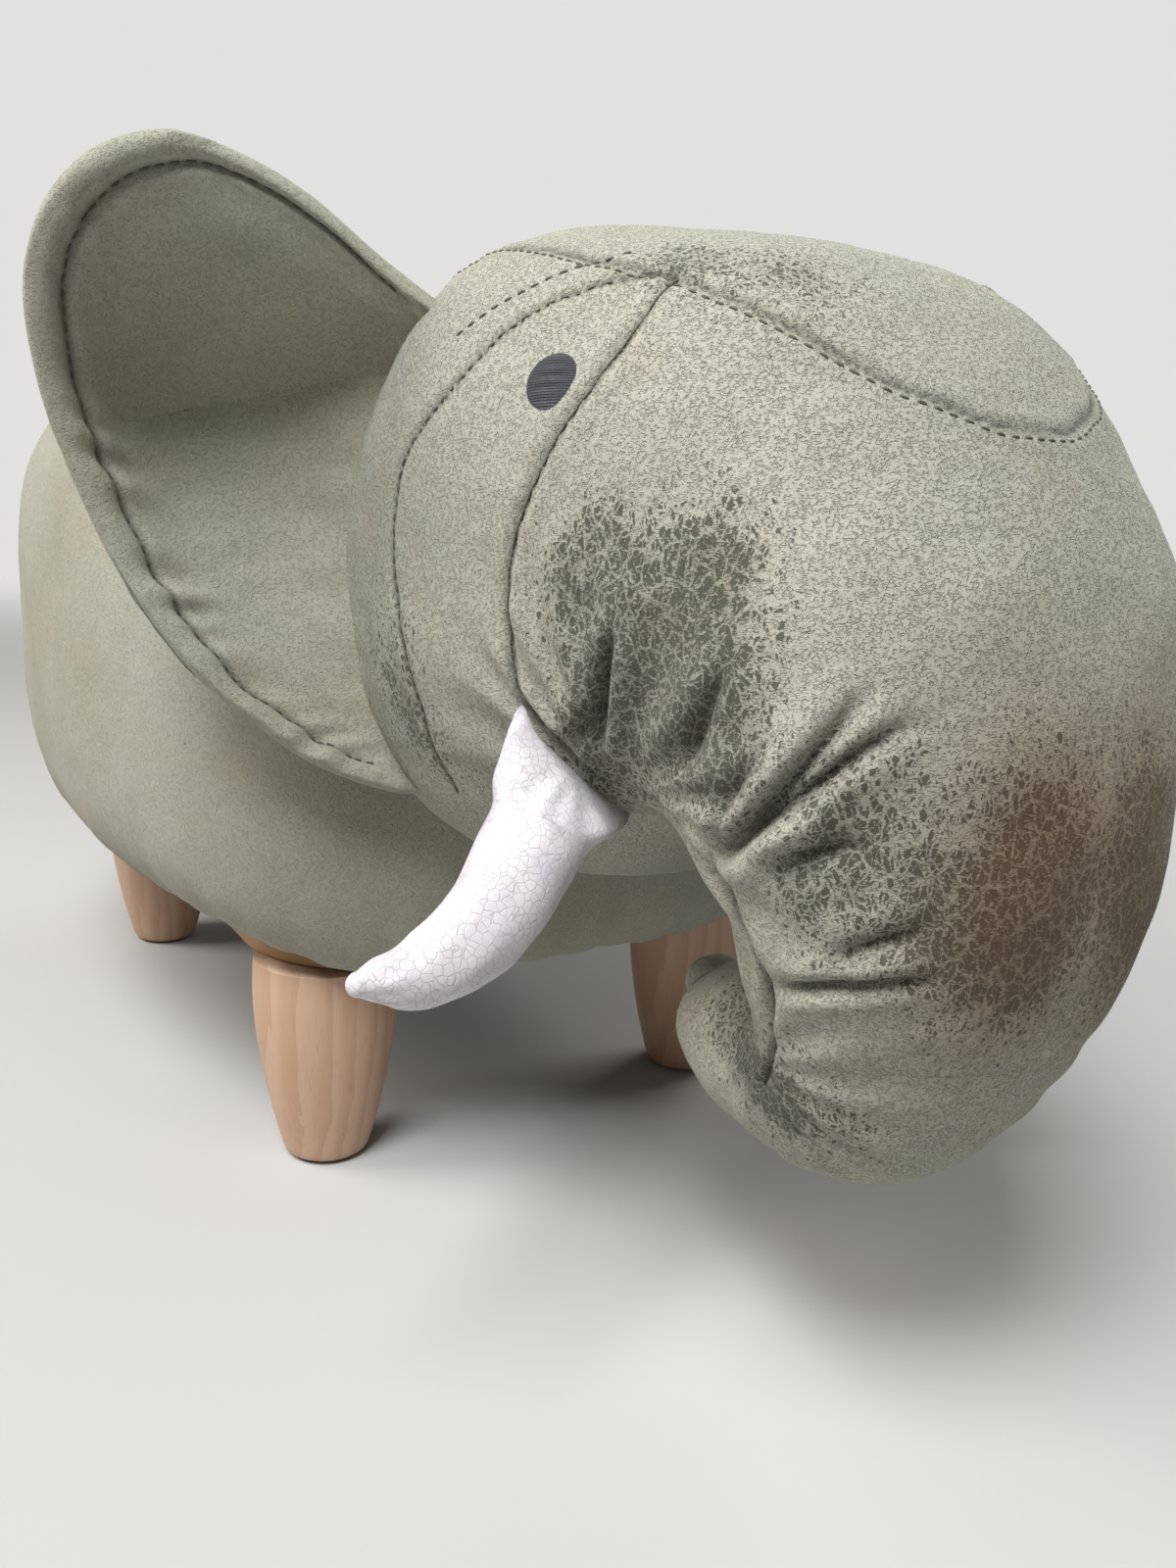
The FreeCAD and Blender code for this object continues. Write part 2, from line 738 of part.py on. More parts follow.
def padded_ring(centre, up, half_width, rise, belly, shares, across=FreeCAD.Vector(1, 0, 0)):
    """Closed wire of eight arcs round a centre, in the plane of across and up."""
    side, crown, corner, base_crown, base_corner = shares
    mean = (rise + belly) / 2
    side_radius = side * mean * math.sqrt(mean / half_width)

    def quarter(height, crown_share, corner_share):
        crown_radius = crown_share * half_width * math.sqrt(half_width / height)
        small, large = sorted((half_width, height))
        return corner_arc(half_width, height, side_radius, crown_radius,
                          corner_share * small * math.sqrt(small / large))

    upper, upper_middle, upper_side = quarter(rise, crown, corner)
    lower, lower_middle, lower_side = quarter(belly, base_crown, base_corner)
    flip = lambda point: (-point[0], point[1])
    down = lambda point: (point[0], -point[1])
    loop = [
        upper, upper_middle, upper_side, (half_width, 0),
        down(lower_side), down(lower_middle), down(lower), (0, -belly),
        flip(down(lower)), flip(down(lower_middle)), flip(down(lower_side)), (-half_width, 0),
        flip(upper_side), flip(upper_middle), flip(upper), (0, rise), upper,
    ]
    spots = [centre + across * x + up * z for x, z in loop]
    arcs = [Part.Arc(*spots[start:start + 3]).toShape() for start in range(0, len(loop) - 1, 2)]
    return Part.Wire(arcs)


def smooth_rows(rows, count):
    """A table of shares redrawn with more rows on the smooth curve through its own."""
    last = len(rows) - 1
    redrawn = []
    for step in range(count + 1):
        spot = last * step / count
        start = min(int(spot), last - 1)
        part = spot - start
        near = (rows[max(start - 1, 0)], rows[start], rows[start + 1], rows[min(start + 2, last)])
        redrawn.append(tuple(curve_value(*values, part) for values in zip(*near)))
    return redrawn


def curve_value(before, start, stop, after, part):
    """Catmull-Rom value between start and stop."""
    slope_in, slope_out = (stop - before) / 2, (after - start) / 2
    rise = stop - start
    return start + part * slope_in + part ** 2 * (3 * rise - 2 * slope_in - slope_out) \
        + part ** 3 * (slope_in + slope_out - 2 * rise)


def body_shape(grow=0):
    """The stuffed body, or with grow the room that its neighbours leave for it."""
    length = S.body_front + S.body_rear
    middle = (S.body_rear - S.body_front) / 2
    stretch = 1 + 2 * grow / length
    level = base_bottom() + S.body_belly
    rings = []
    for along, width, rise, belly in smooth_rows(BODY_SECTION_SHARES, BODY_SECTION_COUNT):
        y = middle + (along * length - S.body_front - middle) * stretch
        rings.append(padded_ring(
            FreeCAD.Vector(0, y, level), FreeCAD.Vector(0, 0, 1),
            width * S.body_width / 2 + grow, rise * S.body_rise + grow,
            belly * (S.body_belly + S.body_rim_drop) + grow, BODY_ROUND_SHARES))
    return Part.makeLoft(rings, True, True)


def head_point(forward, up):
    """A point of the head's outline in the plane of symmetry."""
    neck = S.head_sink - S.body_front
    return FreeCAD.Vector(0, neck - forward * S.head_length,
                          base_bottom() - S.trunk_drop + up * S.head_height)


def head_shape(grow=0):
    """The stuffed head and its curled trunk in one, from the neck round to the tip."""
    rings = []
    rows = smooth_rows(HEAD_SECTION_SHARES, HEAD_SECTION_COUNT)
    for number, (outer_y, outer_z, inner_y, inner_z, width) in enumerate(rows):
        outer = head_point(outer_y, outer_z)
        inner = head_point(inner_y, inner_z)
        trunk = min(1, max(0, 2 * number / HEAD_SECTION_COUNT - TRUNK_START_SHARE))
        shares = tuple(head + (end - head) * trunk
                       for head, end in zip(HEAD_ROUND_SHARES, TRUNK_ROUND_SHARES))
        half = outer.distanceToPoint(inner) / 2 + grow
        rings.append(padded_ring((outer + inner) / 2, (outer - inner).normalize(),
                                 width * S.head_width / 2 + grow, half, half, shares))
    return Part.makeLoft(rings, True, True)


def block(width, depth, height, x, y, z):
    """A box centred on X, from y backwards and z upwards."""
    return Part.makeBox(width, depth, height, FreeCAD.Vector(x - width / 2, y, z))


def frame_room(gap):
    """The room that the frame, the foam and the neck take up in the stuffing."""
    end = S.base_length / 2 + gap
    side = S.base_width / 2 + gap
    base = block(2 * side, 2 * end, S.board_thick + S.body_rim_drop + S.overrun + gap, 0, -end,
                 base_top() + gap - S.board_thick - S.body_rim_drop - S.overrun - gap)
    upright_edges = [edge for edge in base.Edges if edge.BoundBox.ZLength > S.overrun]
    base = base.makeFillet(S.base_corner, upright_edges)
    box = block(S.frame_width + 2 * gap, S.frame_length + 2 * gap,
                S.frame_height + S.board_thick + gap, 0, -S.frame_length / 2 - gap, base_top())
    foam = block(S.frame_width - 2 * S.foam_inset + 2 * gap, S.frame_length - 2 * S.foam_inset + 2 * gap,
                 S.foam_thick + gap, 0, S.foam_inset - S.frame_length / 2 - gap, seat_top())
    edges = [edge for edge in foam.Edges
             if edge.BoundBox.ZMin > seat_top() + S.foam_thick - gap
             or edge.BoundBox.ZLength > S.foam_thick / 2]
    foam = foam.makeFillet(S.foam_round, edges)
    level = base_bottom() + S.neck_level
    neck = block(S.neck_width + 2 * gap, S.neck_length + S.board_thick,
                 S.neck_height + 2 * gap, 0, -S.frame_length / 2 - S.neck_length,
                 level - S.neck_height / 2 - gap)
    legs = []
    for name, side, end in LEG_CORNERS:
        legs.append(Part.makeCylinder(
            S.leg_belly_radius + gap, base_bottom(),
            FreeCAD.Vector(side * S.leg_spacing_x / 2, end * S.leg_spacing_y / 2, gap)))
    return [base, box, foam, neck] + legs


def head_room(gap):
    """The room that the neck, the head board and the bolts' heads take up in the head."""
    level = base_bottom() + S.neck_level
    face = -S.frame_length / 2 - S.neck_length
    neck = block(S.neck_width + 2 * gap, S.neck_length, S.neck_height + 2 * gap, 0, face,
                 level - S.neck_height / 2 - gap)
    board = block(S.head_board_side + 2 * gap, S.board_thick + 2 * gap, S.head_board_side + 2 * gap,
                  0, face - S.board_thick - gap, level - S.head_board_side / 2 - gap)
    bolts = pair(neck_bolt(face - S.board_thick, face, gap), level)
    return [neck, board] + bolts.Solids


def largest(shape):
    """The main solid left by a cut, without crumbs."""
    return max(shape.Solids, key=lambda solid: solid.Volume)


def make_body(body):
    """Stuffed body round the frame."""
    shape_piece("body_cushion", largest(body.cut(frame_room(S.soft_gap))))


def make_head(head, body_room):
    """Stuffed head with its trunk, seated against the body."""
    shape_piece("head", largest(head.cut([body_room] + head_room(S.soft_gap))))


def ear_point(out, back, height):
    """A point of the left ear from its distance out along the ear and back from it."""
    swing = math.radians(S.ear_swing_back)
    root = FreeCAD.Vector(S.ear_root_half_gap, -S.body_front - S.ear_root_forward, 0)
    return root + FreeCAD.Vector(
        out * math.cos(swing) - back * math.sin(swing),
        out * math.sin(swing) + back * math.cos(swing),
        base_bottom() + S.ear_level + height)


def ear_shape():
    """The left ear: two padded layers in a cup that opens forwards."""
    rings = []
    for up, root, rim, cup, lean in smooth_rows(EAR_SECTION_SHARES, EAR_SECTION_COUNT):
        height = up * S.ear_height
        start, stop = root * S.ear_reach, rim * S.ear_reach
        middle = (start + stop) / 2
        thick = S.ear_rim_thick + (S.ear_thick - S.ear_rim_thick) * cup
        rim_half = S.ear_rim_thick / 2
        forward = -lean * S.ear_lean
        sag = forward + cup * S.ear_cup
        seam = forward - cup * S.ear_seam_forward
        front = [ear_point(start, seam - rim_half, height),
                 ear_point(middle, sag - thick / 2, height),
                 ear_point(stop, forward - rim_half, height)]
        back = [ear_point(stop, forward + rim_half, height),
                ear_point(middle, sag + thick / 2, height),
                ear_point(start, seam + rim_half, height)]
        rings.append(Part.Wire([
            Part.Arc(*front).toShape(), Part.LineSegment(front[2], back[0]).toShape(),
            Part.Arc(*back).toShape(), Part.LineSegment(back[2], front[0]).toShape()]))
    return Part.makeLoft(rings, True, True)


def make_ears(rooms):
    """Both ears, sewn in where the head meets the body."""
    ear = largest(ear_shape().cut(rooms))
    shape_piece("left_ear", ear)
    shape_piece("right_ear", mirrored(ear))


def tusk_shape():
    """The left tusk: a flat sewn base, round in the middle, curving to a blunt tip."""
    base = FreeCAD.Vector(S.tusk_half_gap, -S.body_front - S.tusk_forward,
                          base_bottom() + S.tusk_level)
    rows = smooth_rows(TUSK_SECTION_SHARES, TUSK_SECTION_COUNT)
    spots = [base + FreeCAD.Vector(out, -forward, -down) * S.tusk_length
             for out, down, forward, wide, thick in rows]
    rings = []
    for number, spot in enumerate(spots):
        before = spots[max(number - 1, 0)]
        after = spots[min(number + 1, len(spots) - 1)]
        wide, thick = (share * S.tusk_base_width for share in rows[number][3:])
        along = (after - before).normalize()
        across = along.cross(FreeCAD.Vector(0, 1, 0)).normalize()
        through = across.cross(along).normalize()
        rings.append(padded_ring(spot, through, wide, thick, thick, TRUNK_ROUND_SHARES, across))
    return Part.makeLoft(rings, True, True)


def make_tusks(head):
    """Both tusks, sewn to the cheeks."""
    tusk = largest(tusk_shape().cut(head))
    shape_piece("left_tusk", tusk)
    shape_piece("right_tusk", mirrored(tusk))


def make_eyes(head):
    """Satin stitched eyes: two thin ovals that follow the head's skin."""
    turn, tilt = math.radians(S.eye_turn), math.radians(S.eye_tilt)
    out = FreeCAD.Vector(math.cos(turn) * math.cos(tilt), -math.sin(turn) * math.cos(tilt),
                         math.sin(tilt))
    flat = FreeCAD.Vector(math.sin(turn), math.cos(turn), 0)
    middle = FreeCAD.Vector(S.eye_half_gap, -S.body_front - S.eye_forward,
                            base_bottom() + S.eye_level)
    oval = Part.Ellipse(middle + flat * S.eye_width / 2,
                        middle + out.cross(flat) * S.eye_height / 2, middle)
    start = Part.Face(Part.Wire(oval.toShape()))
    start.translate(out * -S.overrun)
    post = start.extrude(out * 2 * S.overrun)
    eye = largest(post.common(head_shape(S.eye_thick)).cut(head))
    shape_piece("embroidered_eyes", Part.makeCompound([eye, mirrored(eye)]))


def make_tail(body_room):
    """A flat tail sewn to the rear and hanging down it, narrower towards its round tip."""
    top = base_bottom() + S.tail_level
    face = S.body_rear + S.soft_gap * 2
    back = face + S.tail_thick
    bend = S.tail_thick * 2
    side = [(face, top - S.tail_length), (back, top - S.tail_length), (back, top - bend),
            (back - bend / 2, top), (face - S.overrun, top + bend / 2),
            (face - S.overrun, top - bend / 2), (face, top - bend * 2)]
    corners = [FreeCAD.Vector(-S.tail_width, y, z) for y, z in side + side[:1]]
    strip = Part.Face(Part.makePolygon(corners)).extrude(FreeCAD.Vector(2 * S.tail_width, 0, 0))
    half, tip = S.tail_width / 2, S.tail_tip_width / 2
    low = top - S.tail_length
    front = [FreeCAD.Vector(x, face - S.overrun, z)
             for x, z in ((-tip, low + tip), (-half, top + bend), (half, top + bend), (tip, low + tip))]
    edges = [Part.LineSegment(*front[first:first + 2]).toShape() for first in range(3)]
    edges.append(Part.Arc(front[3], FreeCAD.Vector(0, face - S.overrun, low), front[0]).toShape())
    taper = Part.Face(Part.Wire(edges)).extrude(FreeCAD.Vector(0, 2 * S.overrun + S.tail_thick, 0))
    shape_piece("tail", largest(strip.common(taper).cut(body_room)))


def make_soft_pieces():
    """Every stuffed and sewn piece, each cut by the larger ones beside it."""
    body, head = body_shape(), head_shape()
    body_room, head_room_outside = body_shape(S.soft_gap), head_shape(S.soft_gap)
    make_body(body)
    make_head(head, body_room)
    make_ears([body_room, head_room_outside])
    make_tusks(head_room_outside)
    make_eyes(head)
    make_tail(body_room)


# The finished model


def check_document():
    """Stop if any object failed or any sub-part has no valid shape."""
    doc.recompute()
    for item in doc.Objects:
        if "Invalid" in item.State or "Error" in item.State:
            raise RuntimeError(item.Label + " failed: " + str(item.State))
    for item in pieces:
        if item.Shape.isNull() or not item.Shape.isValid():
            raise RuntimeError(item.Label + " has no valid shape")


def stand_on_origin():
    """Move every piece so that the origin is under the middle of the stool's box."""
    box = FreeCAD.BoundBox()
    for item in pieces:
        box.add(item.Shape.optimalBoundingBox(False))
    shift = FreeCAD.Vector(-box.Center.x, -box.Center.y, -box.ZMin)
    for item in pieces:
        item.Placement.Base = item.Placement.Base + shift
    doc.recompute()
    print("box", [round(value, 2) for value in (box.XLength, box.YLength, box.ZLength)],
          "shift", [round(value, 4) for value in shift])


def write_pieces():
    """One STEP file for each sub-part, named by its label."""
    os.makedirs("parts", exist_ok=True)
    for item in pieces:
        item.Shape.exportStep(os.path.join("parts", item.Label + ".step"))
        print(item.Label, len(item.Shape.Solids), "solid", round(item.Shape.Volume), "mm3")


fill_sheet()
S = read_sizes()
make_legs()
make_leg_fixings()
make_base_board()
make_dust_cover()
make_staples()
make_frame()
make_glue_blocks()
make_seat_foam()
make_neck()
make_soft_pieces()
check_document()
stand_on_origin()
check_document()
write_pieces()
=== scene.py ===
import bpy
import numpy as np
from mathutils import Matrix, Vector
from mathutils.bvhtree import BVHTree


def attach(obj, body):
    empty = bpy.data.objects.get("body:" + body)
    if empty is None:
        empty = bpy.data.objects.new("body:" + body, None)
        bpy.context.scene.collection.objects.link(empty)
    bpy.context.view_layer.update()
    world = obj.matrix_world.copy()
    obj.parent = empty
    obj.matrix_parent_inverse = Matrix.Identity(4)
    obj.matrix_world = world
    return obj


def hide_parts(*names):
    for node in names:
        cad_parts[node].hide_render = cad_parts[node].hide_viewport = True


# Elephant footstool in metres: Z up, the elephant faces -Y and its left side is +X.
# Every shape below is worked out for one side as the real one is cut and sewn, then
# mirrored where the elephant has a pair.

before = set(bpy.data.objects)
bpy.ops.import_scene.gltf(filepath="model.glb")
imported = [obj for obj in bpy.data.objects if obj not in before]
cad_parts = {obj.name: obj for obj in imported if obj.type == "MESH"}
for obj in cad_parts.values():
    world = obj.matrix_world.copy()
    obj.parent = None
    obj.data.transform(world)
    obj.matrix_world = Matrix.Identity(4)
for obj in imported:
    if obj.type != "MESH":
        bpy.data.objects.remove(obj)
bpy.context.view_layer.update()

MM = 0.001
# how far the forms move back so that the origin lies under the middle of the whole stool
SHIFT = 86.959
HALF_TURN = np.pi

# The photograph's camera: its turn, pitch and roll in degrees, its place in millimetres
# before that move, and its focal length and middle in pixels of the 1200 by 1600 picture
CAMERA_TURNS = (-32.30, 12.9, -2.54)
CAMERA_PLACE = np.array([-248.2, -576.9, 261])
CAMERA_LENS, CAMERA_SENSOR = 28.01, 36
FOCUS_PIXELS = 1245
PICTURE_MIDDLE = np.array([600, 800])


# Curves and surfaces


def smooth(table, spots):
    """Rows of a table at spots counted in rows: the Catmull-Rom curve through its rows."""
    table = np.asarray(table, float)
    spots = np.clip(np.asarray(spots, float), 0, len(table) - 1)
    start = np.minimum(spots.astype(int), len(table) - 2)
    part = (spots - start)[:, None]
    before = table[np.maximum(start - 1, 0)]
    here = table[start]
    there = table[start + 1]
    after = table[np.minimum(start + 2, len(table) - 1)]
    slope_in, slope_out = (there - before) / 2, (after - here) / 2
    rise = there - here
    return here + part * slope_in + part**2 * (3 * rise - 2 * slope_in - slope_out) \
        + part**3 * (slope_in + slope_out - 2 * rise)


def even_path(points, count):
    """Points at even steps along the smooth curve through the given points."""
    dense = smooth(points, np.linspace(0, len(points) - 1, 40 * len(points)))
    run = np.r_[0, np.cumsum(np.linalg.norm(np.diff(dense, axis=0), axis=1))]
    want = np.linspace(0, run[-1], count)
    return np.stack([np.interp(want, run, dense[:, k]) for k in range(dense.shape[1])], 1)


def ring_stack(centres, rights, ups, wide, rise, belly, power_top, power_low, around):
    """Closed rings, one for each row of centres.

    At angle a the ring's radius is (|cos a / half width|^n + |sin a / height|^n)^(-1/n), with
    the height and the power n of its upper part above the centre and of its lower part below.
    """
    angle = np.linspace(0, 2 * HALF_TURN, around, endpoint=False)
    cos, sin = np.cos(angle)[None], np.sin(angle)[None]
    height = np.where(sin >= 0, rise[:, None], belly[:, None])
    power = np.where(sin >= 0, power_top[:, None], power_low[:, None])
    radius = (np.abs(cos / wide[:, None])**power + np.abs(sin / height)**power)**(-1 / power)
    x, y = radius * cos, radius * sin
    return centres[:, None] + rights[:, None] * x[..., None] + ups[:, None] * y[..., None]


def normals_of(grid, closed=True):
    """Unit normals of a grid of points: the cross product of its two directions.

    On closed rings they are turned, all together, to point away from the rings' middles.
    """
    along = np.gradient(grid, axis=0)
    if closed:
        across = (np.roll(grid, -1, 1) - np.roll(grid, 1, 1)) / 2
    else:
        across = np.gradient(grid, axis=1)
    normal = np.cross(across, along)
    if closed and (normal * (grid - grid.mean(1, keepdims=True))).sum() < 0:
        normal = -normal
    return normal / np.maximum(np.linalg.norm(normal, axis=2, keepdims=True), 1e-12)


def grid_faces(rows, cols, closed):
    """Quads between neighbouring rows and columns, round the ring where it is closed."""
    row = np.arange(rows - 1)[:, None] * cols
    col = np.arange(cols if closed else cols - 1)[None]
    after = (col + 1) % cols
    quads = np.stack([row + col, row + after, row + cols + after, row + cols + col], -1)
    return quads.reshape(-1, 4)


def mesh_piece(name, points, faces, smooth_shade=True):
    """A mesh object at the origin from points in metres and a list of face arrays."""
    mesh = bpy.data.meshes.new(name)
    mesh.from_pydata(points.tolist(), [], [face for group in faces for face in group.tolist()])
    mesh.update()
    piece = bpy.data.objects.new(name, mesh)
    bpy.context.scene.collection.objects.link(piece)
    if smooth_shade:
        mesh.polygons.foreach_set("use_smooth", np.ones(len(mesh.polygons), bool))
    return piece


def tube_piece(name, grid, first=None, last=None, values=()):
    """A ring grid as a closed skin, with a pole at each end that is given.

    values holds (attribute name, rows by columns) pairs, kept at the points.
    """
    rows, cols = grid.shape[:2]
    points = [grid.reshape(-1, 3)]
    faces = [grid_faces(rows, cols, True)]
    turn = np.cross((np.roll(grid, -1, 1) - grid)[:-1], (grid[1:] - grid[:-1]))
    outwards = (turn * (grid - grid.mean(1, keepdims=True))[:-1]).sum() > 0
    col = np.arange(cols)
    after = (col + 1) % cols
    count = rows * cols
    tails = []
    if first is not None:
        points.append(np.asarray(first, float)[None])
        faces.append(np.stack([np.full(cols, count), after, col], 1))
        tails.append(0)
        count += 1
    if last is not None:
        start = (rows - 1) * cols
        points.append(np.asarray(last, float)[None])
        faces.append(np.stack([np.full(cols, count), start + col, start + after], 1))
        tails.append(rows - 1)
    if not outwards:
        faces = [group[:, ::-1] for group in faces]
    piece = mesh_piece(name, np.concatenate(points), faces)
    for title, array in values:
        flat = np.concatenate([array.reshape(-1)] + [array[row].mean(keepdims=True) for row in tails])
        layer = piece.data.attributes.new(title, "FLOAT", "POINT")
        layer.data.foreach_set("value", flat.astype(np.float32))
    return piece


def distance_to(points, line, reach):
    """Least distance from each point to a line of points, and the share along it.

    Points further than reach from the line's box keep a distance of reach.
    """
    flat = points.reshape(-1, 3)
    near = np.full(len(flat), reach, float)
    share = np.zeros(len(flat))
    inside = np.all((flat > line.min(0) - reach) & (flat < line.max(0) + reach), axis=1)
    chosen = flat[inside]
    start, step = line[:-1], np.diff(line, axis=0)
    size = (step**2).sum(1)
    best, spot = np.full(len(chosen), 1e9), np.zeros(len(chosen))
    for number in range(len(step)):
        part = np.clip((chosen - start[number]) @ step[number] / size[number], 0, 1)
        gap = np.linalg.norm(chosen - start[number] - part[:, None] * step[number], axis=1)
        closer = gap < best
        best = np.where(closer, gap, best)
        spot = np.where(closer, (number + part) / len(step), spot)
    near[inside] = np.minimum(best, reach)
    share[inside] = spot
    return near.reshape(points.shape[:-1]), share.reshape(points.shape[:-1])


def bump_round(gap, width):
    """Bell curve of a distance: 1 on the line and near 0 from twice the width."""
    return np.exp(-(gap / width)**2)


def ramp(value, low, high):
    """Smooth step from 0 at low to 1 at high."""
    part = np.clip((value - low) / (high - low), 0, 1)
    return part * part * (3 - 2 * part)


def waves(points, size, seed, octaves=3):
    """Soft random waves: sums of sines along seeded random directions."""
    rng = np.random.default_rng(seed)
    total = np.zeros(points.shape[:-1])
    for octave in range(octaves):
        step = size / 1.8**octave
        for _ in range(5):
            direction = rng.normal(size=3)
            direction *= 2 * HALF_TURN / step / np.linalg.norm(direction)
            total += np.sin(points @ direction + rng.uniform(0, 6.28)) / 5 / 1.6**octave
    return total


def seam_height(gap, share, depth, width, puff, ends=0.04):
    """Height change near a sewn line: a sharp valley on it and a soft swell beside it."""
    fade = ramp(share, 0, ends) * ramp(1 - share, 0, ends) if ends else 1
    valley = -depth * np.exp(-np.abs(gap / width)**1.4)
    swell = puff * np.exp(-((gap - 3.2 * width) / (2.6 * width))**2)
    return (valley + swell) * fade


def one_side(points):
    """Points folded over to the elephant's right side."""
    return points * np.array([0, 1, 1]) - np.abs(points) * np.array([1, 0, 0])


def camera_axes():
    """The camera's right, down and ahead directions."""
    turn, pitch, roll = np.radians(CAMERA_TURNS)
    ahead = np.array([-np.sin(turn) * np.cos(pitch), np.cos(turn) * np.cos(pitch), -np.sin(pitch)])
    right = np.cross(ahead, [0, 0, 1.0])
    right /= np.linalg.norm(right)
    down = np.cross(ahead, right)
    return (np.cos(roll) * right + np.sin(roll) * down, -np.sin(roll) * right + np.cos(roll) * down,
            ahead)


def sight(pixels):
    """Lines of sight through pixels of the photograph, one millimetre deep each."""
    right, down, ahead = camera_axes()
    across, drop = ((np.asarray(pixels, float) - PICTURE_MIDDLE) / FOCUS_PIXELS).T
    return ahead + across[:, None] * right + drop[:, None] * down


# The forms as they are cut and stuffed, in millimetres before they move to the frame.
# Their main sizes come first: the body's front end is its least y, the head's neck and the
# ear's seam lie that far ahead of y 0, the head and ear start at their foot's height, and
# the ear's plane swings back by its angle. BODY_FORM's rows are shares of the body's sizes


BODY_FRONT, BODY_LENGTH, BODY_LEVEL = -206, 436, 202.0
BODY_HALF_WIDTH, BODY_RISE, BODY_BELLY = 170, 136, 124
HEAD_NECK, HEAD_REACH, HEAD_FOOT, HEAD_RISE, HEAD_HALF_WIDTH = 150, 270, 67, 277, 106
EAR_SEAM_OUT, EAR_SEAM_AHEAD, EAR_SWING = 90, 214, 12
EAR_FOOT, EAR_RISE, EAR_REACH = 168, 184, 106
TURNED_CLOTH_LEVEL = 84.6
BODY_FORM = [
    (0.000, 0.34, 0.24, 0.55), (0.020, 0.58, 0.42, 0.84), (0.062, 0.745, 0.60, 0.98),
    (0.140, 0.865, 0.785, 1.00), (0.270, 0.950, 0.925, 1.00), (0.410, 0.995, 0.990, 1.00),
    (0.560, 1.000, 1.00, 1.00), (0.710, 0.965, 0.955, 1.00), (0.840, 0.870, 0.85, 0.99),
    (0.930, 0.740, 0.70, 0.90), (0.977, 0.560, 0.51, 0.69), (1.000, 0.320, 0.28, 0.36),
]
# From the neck to the trunk's tip: a place on the outer side, one on the inner side, and
# the half width, as shares. A program fitted these rows and HEAD_POWER to the outline
HEAD_FORM = [
    (-0.009, 0.840, 0.000, 0.307, 0.656), (0.054, 0.935, 0.112, 0.248, 0.898),
    (0.189, 0.997, 0.243, 0.231, 0.991), (0.348, 0.999, 0.353, 0.249, 0.989),
    (0.523, 0.972, 0.437, 0.285, 0.939), (0.688, 0.922, 0.500, 0.326, 0.857),
    (0.817, 0.801, 0.548, 0.358, 0.773), (0.916, 0.654, 0.585, 0.365, 0.717),
    (0.958, 0.489, 0.612, 0.341, 0.655), (0.953, 0.318, 0.632, 0.299, 0.559),
    (0.897, 0.169, 0.640, 0.258, 0.469), (0.807, 0.055, 0.635, 0.230, 0.395),
    (0.672, 0.020, 0.607, 0.214, 0.341), (0.541, 0.031, 0.561, 0.202, 0.285),
    (0.456, 0.068, 0.509, 0.184, 0.197), (0.429, 0.105, 0.478, 0.167, 0.094),
]
# How square each of the head's rings is above its middle, and the rings and points round them
HEAD_POWER = [2.06, 2.19, 2.45, 3.18, 3.0, 2.68, 2.38, 2.35, 1.99, 2.24, 2.19, 2.15, 2.11, 2.07, 2.07, 2.07]
HEAD_STEPS, HEAD_COLUMNS = 372, 384
# From the ear's foot up: height, root, rim, cup and forward lean as shares
EAR_FORM = [
    (0.000, -0.12, 0.02, 0.05, 0.10), (0.045, -0.14, 0.19, 0.16, 0.08),
    (0.125, -0.14, 0.42, 0.34, 0.03), (0.230, -0.14, 0.63, 0.54, 0.00),
    (0.370, -0.14, 0.80, 0.76, 0.00), (0.500, -0.14, 0.90, 0.94, 0.06),
    (0.620, -0.14, 0.97, 1.00, 0.22), (0.730, -0.14, 1.00, 0.85, 0.50),
    (0.830, -0.10, 0.98, 0.55, 0.76), (0.920, 0.06, 0.88, 0.25, 0.93),
    (1.000, 0.40, 0.63, 0.05, 1.00),
]
# The rim, out from the root line and up from the floor. A program first laid pixels, read off
# one by one, on the ear's plane, and the places were then moved one by one
EAR_RIM = [
    (-13, 165), (2, 166), (18, 171), (34, 179), (48, 190), (63, 203), (76, 220), (87, 240), (96, 262),
    (103, 284), (106, 306), (104, 323), (97, 337), (85, 348), (68, 353.5), (50, 350.5), (31, 342),
    (12, 329), (-13, 312),
]
# The right tusk from its sewn base to its tip: a pixel on each edge with its depth from the
# camera, then half the tusk's thickness
TUSK_EDGES = [
    ((531, 721), 330, (634.7, 847.3), 342, 1.9),
    ((516, 770), 329, (612, 869), 329, 7.0),
    ((514, 807), 327, (588, 887), 327, 11.5),
    ((491, 851), 323, (577, 911), 323, 12.8),
    ((464.7, 896.4), 317, (552, 950), 317, 12.6),
    ((442, 930.4), 311, (520, 985), 311, 11.6),
    ((404, 964.4), 302, (462, 1016), 302, 9.4),
    ((380, 978), 295, (402, 1024), 295, 6.4),
    ((362, 992), 291, (371, 1018), 291, 3.6),
]
# how its base is tucked into the head: the way in, how far, and the share of its width
TUSK_TUCK_WAY = (9.1, 5.5, 7.4)
TUSK_TUCK_DEPTH, TUSK_TUCK_WIDTH, TUSK_TUCK_THICK = 7, 0.94, 1.6
# A leg's profile: height and radius
LEG_FORM = [
    (0.0, 12.5), (0.8, 15.2), (3, 17.2), (10, 19.2), (22, 22.2), (38, 25.3), (54, 27.6), (68, 28.5),
    (77, 28.4), (84, 28.0),
]


